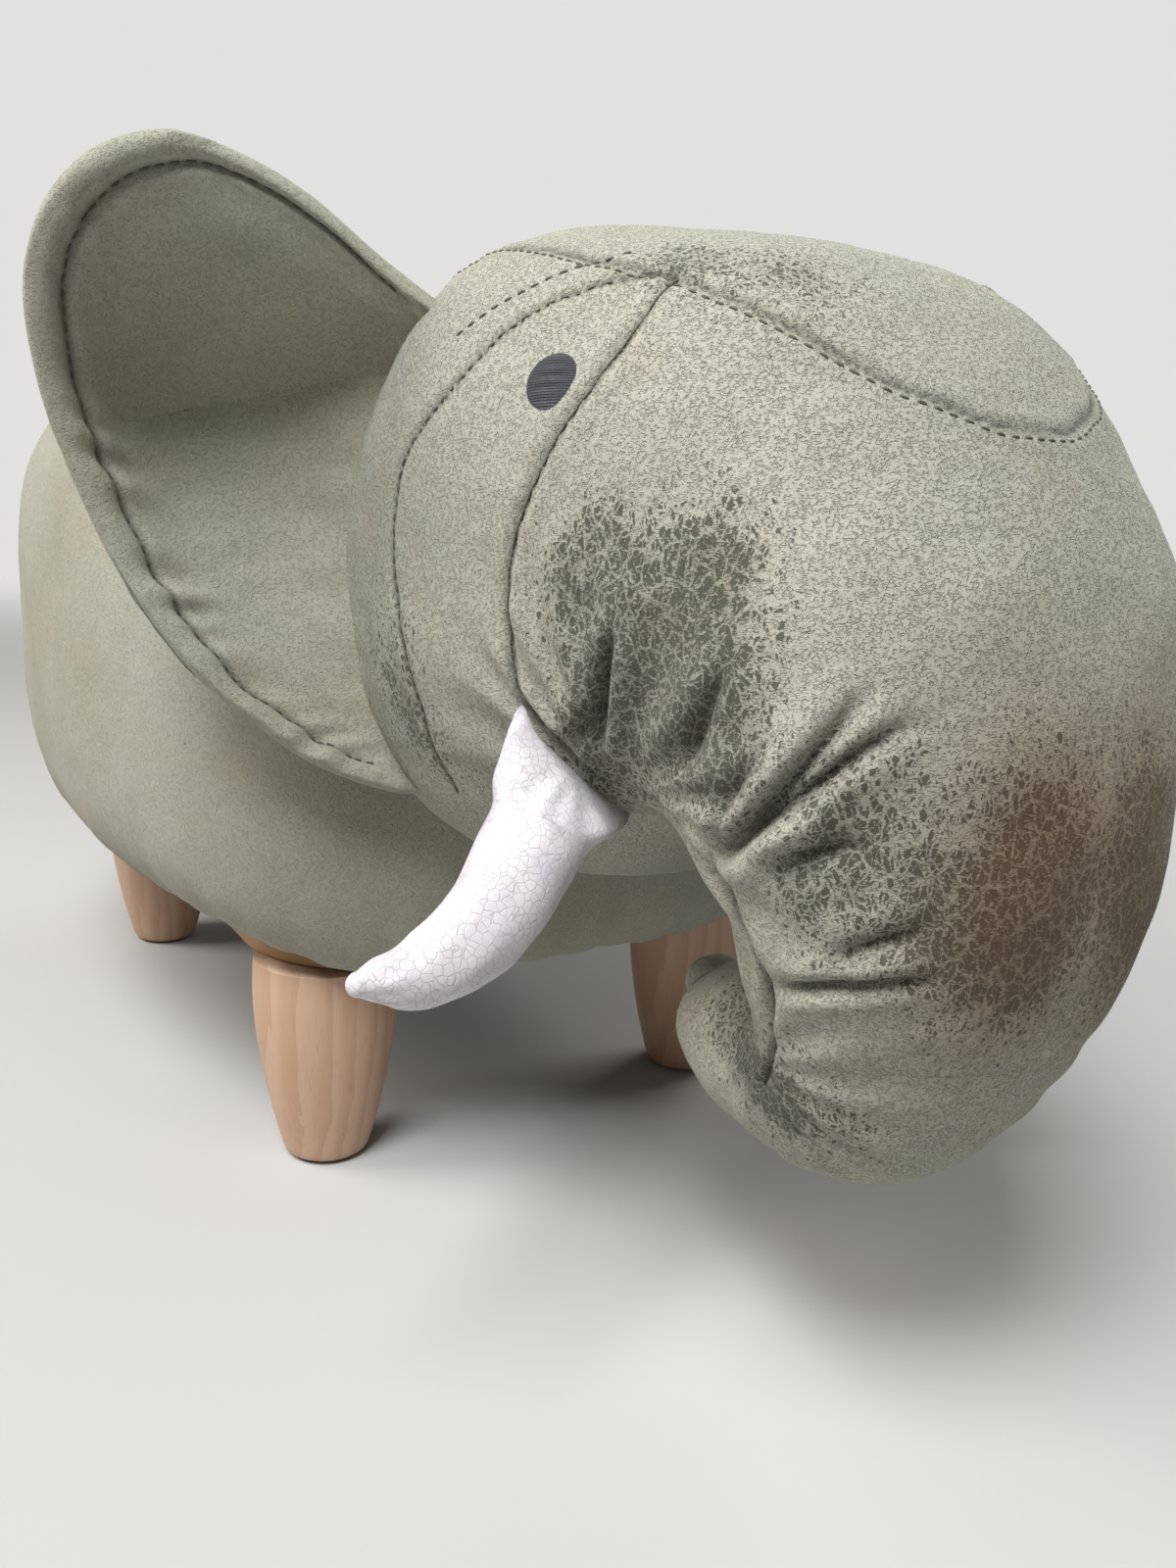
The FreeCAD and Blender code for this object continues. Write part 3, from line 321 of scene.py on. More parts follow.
def body_skin():
    """The stuffed body: rings along Y whose half width, rise and belly follow BODY_FORM.

    The rear closes in a shallow dome, and inside the base board's outline the underside is
    drawn up to the board, where the cloth is turned in under the dust cover.
    """
    rows = smooth(BODY_FORM, np.linspace(0, 11, 170))
    cap = np.linspace(0, 1, 14)[1:-1]
    level = np.full(len(rows) + len(cap), BODY_LEVEL)
    front, rear = SHIFT + BODY_FRONT, SHIFT + BODY_FRONT + BODY_LENGTH
    y = np.r_[front + rows[:, 0] * BODY_LENGTH, rear + 3.0 * (1 - (1 - cap)**2)]
    shrink = np.r_[np.ones(len(rows)), 1 - cap]
    sizes = np.concatenate([rows[:, 1:], np.repeat(rows[-1:, 1:], len(cap), 0)])
    sizes = sizes * [BODY_HALF_WIDTH, BODY_RISE, BODY_BELLY] * shrink[:, None]
    centres = np.stack([np.zeros(len(y)), y, level], 1)
    rights, ups = np.tile([1.0, 0, 0], (len(y), 1)), np.tile([0, 0, 1.0], (len(y), 1))
    grid = ring_stack(centres, rights, ups, *sizes.T, np.full(len(y), 2.95), np.full(len(y), 4.2), 260)
    normal = normals_of(grid)
    lower = ramp(140 - grid[..., 2], 0, 55)
    run = np.arctan2(grid[..., 1] - SHIFT - 10, grid[..., 0]) * 26
    gathers = np.sin(run * 2.1 + 1.3 * np.sin(run * 0.37)) * np.sin(run * 0.61 + 1)
    height = 1.1 * waves(grid, 150, 3) + 0.35 * waves(grid, 45, 8) + 0.9 * gathers * lower
    grid = grid + normal * height[..., None] - normal * 1.8
    inner = np.abs(grid[..., :2] - [0, SHIFT]) - [62, 116]
    edge = np.linalg.norm(np.maximum(inner, 0), axis=2) + np.minimum(inner.max(2), 0) - 54
    turned = ramp(-edge, -7, 5) * (grid[..., 2] < 120)
    grid[..., 2] += np.maximum(TURNED_CLOTH_LEVEL - grid[..., 2], 0) * turned
    return grid * MM


def head_frames():
    """Centre, up direction, half depth and half width of each ring along the head."""
    rows = smooth(HEAD_FORM, np.linspace(0, len(HEAD_FORM) - 1, HEAD_STEPS))
    outer, inner = (np.stack([ahead * 0, SHIFT - HEAD_NECK - ahead * HEAD_REACH,
                              HEAD_FOOT + up * HEAD_RISE], 1)
                    for ahead, up in (rows[:, 0:2].T, rows[:, 2:4].T))
    centre = (outer + inner) / 2
    half = np.linalg.norm(outer - inner, axis=1) / 2
    up = (outer - inner) / (2 * half[:, None])
    wide = rows[:, 4] * HEAD_HALF_WIDTH
    # the trunk's tip closes in a dome that keeps the last ring's direction
    ahead = centre[-1] - centre[-3]
    ahead = ahead / np.linalg.norm(ahead)
    turn = np.linspace(0, HALF_TURN / 2, 12)[1:-1]
    centre = np.concatenate([centre, centre[-1] + ahead * np.sin(turn)[:, None] * half[-1]])
    up = np.concatenate([up, np.repeat(up[-1:], len(turn), 0)])
    half = np.r_[half, half[-1] * np.cos(turn)]
    wide = np.r_[wide, wide[-1] * np.cos(turn)]
    return centre, up, half, wide, ahead


def head_rings():
    """The head's bare rings in metres, before it is sewn, and the tip that closes the trunk."""
    centre, up, half, wide, ahead = head_frames()
    right = np.tile([1.0, 0, 0], (len(centre), 1))
    trunk = np.clip(2 * np.arange(len(centre)) / HEAD_STEPS - 0.7, 0, 1)
    below = 2.4 - 0.33 * trunk
    above = smooth(np.array(HEAD_POWER)[:, None], np.linspace(0, len(HEAD_POWER) - 1, HEAD_STEPS))[:, 0]
    above = np.r_[above, np.full(len(centre) - HEAD_STEPS, above[-1])]
    grid = ring_stack(centre, right, up, wide, half, half, above, below, HEAD_COLUMNS) * MM
    return grid, (centre[-1] + ahead * 0.4) * MM


def on_head(pixels):
    """Where the lines of sight through pixels of the photograph first meet the bare head."""
    start = Vector((CAMERA_PLACE + [0, SHIFT, 0]) * MM)
    hits = [BARE_HEAD_TREE.ray_cast(start, Vector(way))[0] for way in sight(pixels)]
    return np.array([tuple(hit) for hit in hits])


BARE_HEAD, HEAD_TIP = head_rings()
BARE_HEAD_TREE = BVHTree.FromPolygons(BARE_HEAD.reshape(-1, 3).tolist(),
                                      grid_faces(*BARE_HEAD.shape[:2], True).tolist())

# Sewn lines of the head's right side, as pixels of the photograph, and as places the two
# spots on them that it doesn't show well: behind the ear and at the throat
CROWN_END = np.array([-75, -121, 329]) * MM
THROAT_TURN = np.array([-67, -239, 185]) * MM
CROWN_SEAM = on_head([(1055, 440), (1014.5, 433), (958, 410), (900, 385), (800, 330), (690, 285),
                      (598, 265), (518.5, 253)])
CROWN_SEAM = np.concatenate([CROWN_SEAM, [CROWN_END]])
# the crown's seam crosses the middle of the head
CROWN_SEAM[0, 0] = 0
FACE_SEAM = on_head([(690, 285), (640, 345), (600, 400), (565, 450), (540, 500), (522, 550),
                     (515, 600), (518, 650), (530, 700), (551.5, 737)])
CHEEK_SEAM = on_head([(690, 280), (620, 290), (560, 310), (505, 345), (470, 385), (430, 440),
                      (410, 480), (400, 560), (405, 620), (420, 690), (440, 760), (465, 806)])
TRUNK_SEAM = on_head([(535, 720), (575, 760), (619.5, 795), (722, 884), (748, 925), (768, 965),
                      (781, 1003), (786, 1045), (784, 1080), (775, 1108)])
TRUNK_SEAM = np.insert(TRUNK_SEAM, 3, THROAT_TURN, axis=0)
BROW_LINE = on_head([(640, 262), (540, 295), (470, 340)])

# Folds where the trunk is drawn under
DEEP_PLEAT = on_head([(630, 625), (622, 660), (617, 700), (613, 745), (612, 775)])
UPPER_FOLD = on_head([(722, 884), (765, 845), (805, 800), (845, 755), (880, 715), (905, 690)])
LOWER_FOLD = on_head([(722, 884), (780, 840), (835, 800), (880, 765), (925, 742), (962, 735)])
TRUNK_CREASE = on_head([(780, 1003), (830, 1006), (880, 1004), (925, 1000), (972, 1000)])
SMALL_FOLDS = [on_head(pixels) for pixels in (
    [(752, 650), (728, 705), (705, 760), (688, 805)],
    [(800, 735), (765, 785), (738, 835), (722, 878)],
    [(835, 985), (880, 968), (925, 955), (965, 945)],
    [(775, 880), (820, 872), (860, 865), (905, 868)],
    [(575, 760), (600, 735), (618, 720)],
)]

# Each sewn line and fold with its depth, width and the swell beside it in millimetres, and
# the share of its length over which each end dies out
HEAD_LINES = (
    (CROWN_SEAM, 1.0, 1.2, 0.4, 0), (FACE_SEAM, 1.2, 1.2, 0.6, 0),
    (CHEEK_SEAM, 0.9, 1.2, 0.4, 0), (TRUNK_SEAM, 2.0, 1.4, 0.7, 0),
    (DEEP_PLEAT, 7.0, 1.8, 2.4, 0.35), (UPPER_FOLD, 6.6, 1.9, 2.0, 0.3),
    (LOWER_FOLD, 6.2, 1.7, 1.8, 0.3), (TRUNK_CREASE, 3.8, 1.4, 1.5, 0.3),
    *((line, 2.8, 1.9, 1.2, 0.4) for line in SMALL_FOLDS),
)


def head_skin():
    """The stuffed head: rings from the neck over the crown and down the trunk to its tip.

    Sewn lines pull the skin in along curves and let it swell beside them. The folds at the
    trunk's bend are valleys with a soft ridge on each side that die out at both ends.
    """
    grid = BARE_HEAD
    normal = normals_of(grid)
    folded = one_side(grid)
    height = np.zeros(grid.shape[:2])
    near = np.full(grid.shape[:2], 1.0)
    fold_shade_mask = np.zeros(grid.shape[:2])
    left = ramp(grid[..., 0] / MM, -1, 3)
    for line, depth, width, puff, ends in HEAD_LINES:
        gap, share = distance_to(folded, even_path(line, 36), 0.05)
        # folds on the left side stop short of the trunk's front, and sewn lines run on
        short = 1 - left * ramp(share, 0.25, 0.7) if ends else 1
        height += seam_height(gap / MM, share, depth, width, puff, ends) * short
        # folds also mark a band along their valleys where shade is painted into the cloth
        if ends:
            fold_shade_mask = np.maximum(fold_shade_mask, bump_round(gap, width * 1.3 * MM) * ramp(share, 0, 0.3)
                                 * ramp(1 - share, 0, 0.5) * short)
        else:
            near = np.minimum(near, gap)
    # short gathers fan out from the throat where the trunk is drawn under
    throat = np.array([-0.070, -0.228, 0.186])
    out = folded - throat
    reach = np.linalg.norm(out, axis=2)
    fan = np.arctan2(out[..., 2], -out[..., 1])
    pleats = np.sin(fan * 17 + 2.2 * np.sin(fan * 3.1)) * bump_round(reach - 0.042, 0.020)
    bend = np.array([-0.045, -0.262, 0.120])
    out = folded - bend
    fan = np.arctan2(out[..., 2], -out[..., 1])
    tucks = np.sin(fan * 15 + 1.5) * bump_round(np.linalg.norm(out, axis=2) - 0.030, 0.016)
    height += 1.1 * pleats + 0.8 * tucks
    height += 1.0 * waves(grid / MM, 90, 5) + 0.35 * waves(grid / MM, 26, 6)
    # close wrinkles run across each sewn line where the thread draws the cloth together
    height += 0.28 * waves(grid / MM, 9, 9, 1) * bump_round(near, 0.009)
    return grid + normal * (height * MM)[..., None], near, fold_shade_mask


# The two layers are pinched on a line inside the rim, and stitched beside it
EAR_PINCH_INSET, EAR_STITCH_INSET = 8.8, 8.6
# stitches stop where the rim comes nearer than this to the root line
EAR_STITCH_LEAST_SPAN = 34


def ear_back(out, height):
    """How far back from the ear's plane its middle layer lies, from the two ways across it.

    At one height it runs from the seam to the rim with a parabola's sag between them.
    """
    form = smooth(EAR_FORM, np.linspace(0, 10, 200))
    up = np.clip((height - EAR_FOOT) / EAR_RISE, 0, 1)
    root, rim, cup, lean = (np.interp(up, form[:, 0], form[:, k]) for k in (1, 2, 3, 4))
    part = np.clip((out / EAR_REACH - root) / np.maximum(rim - root, 0.05), 0, 1)
    rest = -14 * lean
    chord = rest - 12 * cup * (1 - part)
    sag = rest + 30 * cup
    return chord + 4 * part * (1 - part) * (sag - (rest - 6 * cup))


def ear_spot(out, back, height):
    """Ear's own directions to the frame's, for the elephant's left ear, in millimetres."""
    swing = np.radians(EAR_SWING)
    return np.stack([EAR_SEAM_OUT + out * np.cos(swing) - back * np.sin(swing),
                     SHIFT - EAR_SEAM_AHEAD + out * np.sin(swing) + back * np.cos(swing), height], -1)


def ear_skin(seed):
    """The left ear: two layers sewn at the rim, turned, and stitched again inside it.

    Rays run from the root line to the rim. Across the ray the two layers part by a
    thickness that is round at the rim, pinched on the stitch line and full inside it.
    """
    rim = even_path(np.array(EAR_RIM, float), 300)
    climb = np.linspace(0, 1, len(rim))
    root = np.stack([np.full(len(rim), -13.0), 166 + 146 * climb], 1)
    span = np.linalg.norm(rim - root, axis=1)
    # steps across crowd towards the rim so that its roll stays round
    across = np.sin(np.linspace(0, HALF_TURN / 2, 92))
    way = np.r_[across, across[-2::-1]]
    side = np.r_[np.full(len(across) - 1, -1.0), 0, np.full(len(across) - 1, 1.0)]
    spot = root[:, None] + (rim - root)[:, None] * way[None, :, None]
    to_rim = span[:, None] * (1 - way)[None]
    # the cup is folded along a valley: its upper half hangs over and its lower half lies open
    gap = spot[..., 1] - (299 - 0.08 * spot[..., 0] - 0.0018 * spot[..., 0]**2)
    dip = 12 * np.exp(-np.abs(gap / np.where(gap > 0, 15, 36))**1.3) * ramp(to_rim, 2, 34)
    middle = ear_spot(spot[..., 0], ear_back(spot[..., 0], spot[..., 1]) + dip, spot[..., 1])
    face = normals_of(middle[:, :len(across)], closed=False)
    face *= np.sign(face[150, 40] @ [0, -1.0, 0])
    face = np.concatenate([face, face[:, -2::-1]], 1)
    roll = np.sqrt(np.clip(1 - (1 - np.clip(to_rim / 4.5, 0, 1))**2, 0, 1))
    rng = np.random.default_rng(seed)
    run = np.cumsum(np.linalg.norm(np.diff(rim, axis=0, prepend=rim[:1]), axis=1))[:, None]
    pinch = 1.7 * bump_round(to_rim - EAR_PINCH_INSET, 1.8) * ramp(span[:, None], 20, 60)
    lower = bump_round(climb[:, None] - 0.30, 0.22)
    pucker = np.sin(run / 3.1 + 1.5 * np.sin(run / 9)) * np.sin(run / 11.7 + rng.uniform(0, 6))
    gathers = pucker * bump_round(to_rim - 11, 9) * (0.35 + 0.9 * lower)
    body = 3.4 + 1.2 * ramp(to_rim, 14, 32) + 0.4 * bump_round(to_rim - 4, 4)
    thick = np.minimum(body - pinch, 40) * roll + 1.3 * gathers * roll
    crease = waves(np.stack([spot[..., 0], spot[..., 1] * 2.2, spot[..., 0] * 0], -1), 70, seed)
    grid = middle + face * (side[None] * thick + 0.9 * crease * ramp(to_rim, 8, 40))[..., None]
    return grid * MM, to_rim, rim, root


def tusk_rows():
    """Middle, vector of half the width and half thickness of the left tusk's rings.

    Each ring spans two edges seen in the photograph, mirrored to the left side. The first
    ring lies inside the head, behind the base.
    """
    first, first_depth, second, second_depth, thick = zip(*TUSK_EDGES)
    one = CAMERA_PLACE + sight(first) * np.array(first_depth)[:, None]
    other = CAMERA_PLACE + sight(second) * np.array(second_depth)[:, None]
    middle, half = (one + other) / 2, (one - other) / 2
    way = np.array(TUSK_TUCK_WAY) / np.linalg.norm(TUSK_TUCK_WAY)
    middle = np.concatenate([middle[:1] + way * TUSK_TUCK_DEPTH, middle])
    half = np.concatenate([half[:1] * TUSK_TUCK_WIDTH, half])
    return np.column_stack([middle * [-1, 1, 1], half * [-1, 1, 1], (TUSK_TUCK_THICK, *thick)])


def tusk_skin():
    """The left tusk: a cloth tube sewn shut across its base, so it starts flat and wide.

    The rings between those of tusk_rows are smooth, lens-shaped at the base and round
    further on.
    """
    table = tusk_rows()
    rows = smooth(table, np.linspace(0, len(table) - 1, 150))
    spots = rows[:, :3] + [0, SHIFT, 0]
    sizes = np.stack([np.linalg.norm(rows[:, 3:6], axis=1), rows[:, 6]], 1)
    across = rows[:, 3:6] / sizes[:, :1]
    along = np.gradient(spots, axis=0)
    along /= np.linalg.norm(along, axis=1, keepdims=True)
    turn = np.linspace(0, HALF_TURN / 2, 12)[1:-1]
    spots = np.concatenate([spots, spots[-1] + along[-1] * np.sin(turn)[:, None] * sizes[-1, 0]])
    along = np.concatenate([along, np.repeat(along[-1:], len(turn), 0)])
    across = np.concatenate([across, np.repeat(across[-1:], len(turn), 0)])
    sizes = np.concatenate([sizes, sizes[-1:] * np.cos(turn)[:, None]])
    through = np.cross(across, along)
    through /= np.linalg.norm(through, axis=1, keepdims=True)
    across = np.cross(along, through)
    run = np.r_[0, np.cumsum(np.linalg.norm(np.diff(spots, axis=0), axis=1))]
    power = 1.55 + 0.6 * ramp(run, 8, 24)
    grid = ring_stack(spots, across, through, sizes[:, 0], sizes[:, 1], sizes[:, 1], power, power, 128)
    normal = normals_of(grid)
    run = run[:, None]
    angle = np.linspace(0, 2 * HALF_TURN, 128, endpoint=False)[None]
    neck = bump_round(run - 23, 8)
    folds = np.sin(angle * 4 + 0.9) * 0.25 + np.sin(angle * 7 + run / 5) * 0.3
    ripple = np.sin((run - 7 * np.cos(angle)) / 4.2) * bump_round(run - 44, 15)
    tucks = np.sin(angle * 6) * bump_round(run - run.max() + 9, 4)
    height = folds * neck + 0.25 * ripple + 0.6 * waves(grid, 24, 12) + 0.3 * tucks
    grid = grid + normal * (height * ramp(run, 9, 18) * ramp(run.max() - run, 0, 8))[..., None]
    return grid * MM, (spots[-1] + along[-1] * 0.2) * MM


def leg_skin(x, y, seed):
    """A turned leg: its profile swept round, a little out of true as wood dries."""
    rows = smooth(LEG_FORM, np.linspace(0, 9, 90))
    angle = np.linspace(0, 2 * HALF_TURN, 96, endpoint=False)[None]
    radius = rows[:, 1:] * (1 + 0.0015 * np.cos(2 * angle + seed))
    grid = np.stack([x + radius * np.cos(angle), y + radius * np.sin(angle),
                     np.repeat(rows[:, :1], 96, 1)], -1)
    return grid * MM


def tail_skin():
    """The tail: a flat strap with rounded edges on a path that leaves the rear and drops."""
    path = np.array([(0, 218, 268), (0, 225, 266), (0, 231, 259), (0, 233.4, 246), (0, 233.4, 220),
                     (0, 233.4, 180), (0, 233.4, 150), (0, 233.4, 139.5)], float) + [0, SHIFT, 0]
    path = even_path(path, 120)
    along = np.gradient(path, axis=0)
    along /= np.linalg.norm(along, axis=1, keepdims=True)
    share = np.linspace(0, 1, len(path))
    wide = 11.6 - 3.6 * share
    tip = np.clip((share - 0.94) / 0.06, 0, 1)
    wide = wide * np.sqrt(np.maximum(1 - tip**2, 0.02))
    thick = 2.6 * np.sqrt(np.maximum(1 - (tip * 0.9)**2, 0.05))
    across = np.tile([1.0, 0, 0], (len(path), 1))
    through = np.cross(across, along)
    power = np.full(len(path), 2.9)
    grid = ring_stack(path, across, through, wide, thick, thick, power, power, 72)
    edge = wide[:, None] - np.abs(grid[..., 0])
    grid = grid - np.sign(np.einsum("rcx,rx->rc", grid - path[:, None], through))[..., None] \
        * through[:, None] * (0.5 * bump_round(edge - 3.2, 0.9))[..., None]
    return grid * MM, path * MM


# Placing things on a finished skin


def nearest_skin(grid, normal, spots, count=1):
    """For each spot, the nearest grid point and its normal, or weighted means of several."""
    flat, ways = grid.reshape(-1, 3), normal.reshape(-1, 3)
    low, high = spots.min(0) - 0.03, spots.max(0) + 0.03
    inside = np.all((flat > low) & (flat < high), axis=1)
    flat, ways = flat[inside], ways[inside]
    points, slopes = [], []
    for part in np.array_split(spots, max(1, len(spots) // 60)):
        gap = ((part[:, None] - flat[None])**2).sum(2)
        chosen = np.argpartition(gap, count, axis=1)[:, :count]
        weight = 1 / (np.take_along_axis(gap, chosen, 1) + 1e-8)
        weight = (weight / weight.sum(1, keepdims=True))[..., None]
        points.append((flat[chosen] * weight).sum(1))
        slopes.append((ways[chosen] * weight).sum(1))
    points, slopes = np.concatenate(points), np.concatenate(slopes)
    return points, slopes / np.linalg.norm(slopes, axis=1, keepdims=True)


def drop_on(grid, normal, spots, count=6):
    """Spots moved along the skin's normal until they lie on it."""
    point, slope = nearest_skin(grid, normal, spots, count)
    return spots - slope * ((spots - point) * slope).sum(1, keepdims=True), slope


def seam_stitches(name, grid, normal, line, offset, pitch, length, thick):
    """A row of topstitches beside a sewn line, all one mesh of small capsules."""
    size = np.linalg.norm(np.diff(line, axis=0), axis=1).sum() / MM
    path = even_path(line, int(size / pitch))
    spots, slope = drop_on(grid, normal, path)
    along = np.gradient(spots, axis=0)
    along /= np.linalg.norm(along, axis=1, keepdims=True)
    spots = spots + np.cross(slope, along) * offset * MM
    spots, slope = drop_on(grid, normal, spots)
    return capsules(name, spots, along, slope, length, thick)


def capsules(name, spots, along, slope, length, thick):
    """Stitches: at each spot a capsule of six sides whose radius is round at both ends."""
    step = np.linspace(-1, 1, 7)
    radius = np.sqrt(np.maximum(1 - np.abs(step)**3, 0.04)) * thick * MM
    angle = np.linspace(0, 2 * HALF_TURN, 6, endpoint=False)
    side = np.cross(slope, along)
    ring = side[:, None, None] * np.cos(angle)[None, None, :, None] \
        + slope[:, None, None] * np.sin(angle)[None, None, :, None]
    grid = (spots + slope * thick * 0.25 * MM)[:, None, None] \
        + along[:, None, None] * (step * length / 2 * MM)[None, :, None, None] \
        - slope[:, None, None] * (0.35 * thick * MM * step**4)[None, :, None, None] \
        + ring * radius[None, :, None, None]
    count = len(spots)
    one = grid_faces(7, 6, True)
    cap = np.array([[0, 1, 2, 3], [0, 3, 4, 5]])
    quads = np.concatenate([one, cap[:, ::-1], cap + 36])
    faces = (quads[None] + (np.arange(count) * 42)[:, None, None]).reshape(-1, 4)
    return mesh_piece(name, grid.reshape(-1, 3), [faces])


def mirrored(grid):
    """The same grid on the elephant's other side, its rings run back so faces stay outwards."""
    return (grid * [-1, 1, 1])[:, ::-1]


# Materials


def new_material(name):
    """A material with an empty tree, its shader and its output."""
    made = bpy.data.materials.new(name)
    made.use_nodes = True
    tree = made.node_tree
    tree.nodes.clear()
    shader = tree.nodes.new("ShaderNodeBsdfPrincipled")
    output = tree.nodes.new("ShaderNodeOutputMaterial")
    tree.links.new(shader.outputs[0], output.inputs[0])
    return made, tree, shader


def add(tree, kind, settings=(), **inputs):
    """A node with its settings, and its inputs by name with underscores for spaces."""
    node = tree.nodes.new("ShaderNode" + kind)
    for key, value in dict(settings).items():
        setattr(node, key, value)
    for key, value in inputs.items():
        plug(tree, node.inputs[int(key[1:]) if key[1:].isdigit() else key.replace("_", " ")], value)
    return node


def plug(tree, socket, value):
    if isinstance(value, bpy.types.NodeSocket):
        tree.links.new(value, socket)
    else:
        socket.default_value = value


def maths(tree, operation, first, second=0.0, third=0.0):
    node = add(tree, "Math", {"operation": operation}, _0=first, _1=second, _2=third)
    return node.outputs[0]


def blend_colour(tree, part, first, second, mode="MIX"):
    """Mix two colours, or a colour into another, by a part from 0 to 1."""
    node = tree.nodes.new("ShaderNodeMix")
    node.data_type, node.blend_type = "RGBA", mode
    plug(tree, node.inputs[0], part)
    plug(tree, node.inputs[6], first)
    plug(tree, node.inputs[7], second)
    return node.outputs[2]


def colour(red, green, blue):
    """A colour written as it shows on a screen, from 0 to 255."""
    shown = np.array([red, green, blue]) / 255
    linear = np.where(shown <= 0.04045, shown / 12.92, ((shown + 0.055) / 1.055)**2.4)
    return (*linear.tolist(), 1.0)


def spread(tree, value, low, high, start=0.0, stop=1.0):
    node = add(tree, "MapRange", {"interpolation_type": "SMOOTHSTEP"}, Value=value,
               From_Min=low, From_Max=high, To_Min=start, To_Max=stop)
    return node.outputs[0]


def object_place(tree, scale=(1, 1, 1)):
    place = add(tree, "TexCoord").outputs["Object"]
    return add(tree, "Mapping", Vector=place, Scale=scale).outputs[0]


def noise(tree, place, scale, detail=3.0, rough=0.55, distortion=0.0):
    node = add(tree, "TexNoise", Vector=place, Scale=scale, Detail=detail, Roughness=rough,
               Distortion=distortion)
    return node.outputs["Fac"]


def vector_maths(tree, operation, first, second):
    return add(tree, "VectorMath", {"operation": operation}, _0=first, _1=second).outputs[0]


def scaled(tree, vector, size):
    return add(tree, "VectorMath", {"operation": "SCALE"}, _0=vector, Scale=size).outputs[0]


def edge_distance(tree, place, scale):
    """Distance to the nearest edge between the cells of a Voronoi pattern."""
    return add(tree, "TexVoronoi", {"feature": "DISTANCE_TO_EDGE"}, Vector=place,
               Scale=scale).outputs["Distance"]


def surface(tree, shader, tone, rough, relief, strength, distance, **looks):
    """Give a shader its colour, roughness and relief, and further looks by their names."""
    plug(tree, shader.inputs["Base Color"], tone)
    plug(tree, shader.inputs["Roughness"], rough)
    bump = add(tree, "Bump", Strength=strength, Distance=distance, Height=relief)
    plug(tree, shader.inputs["Normal"], bump.outputs[0])
    for key, value in looks.items():
        shader.inputs[key.replace("_", " ")].default_value = value


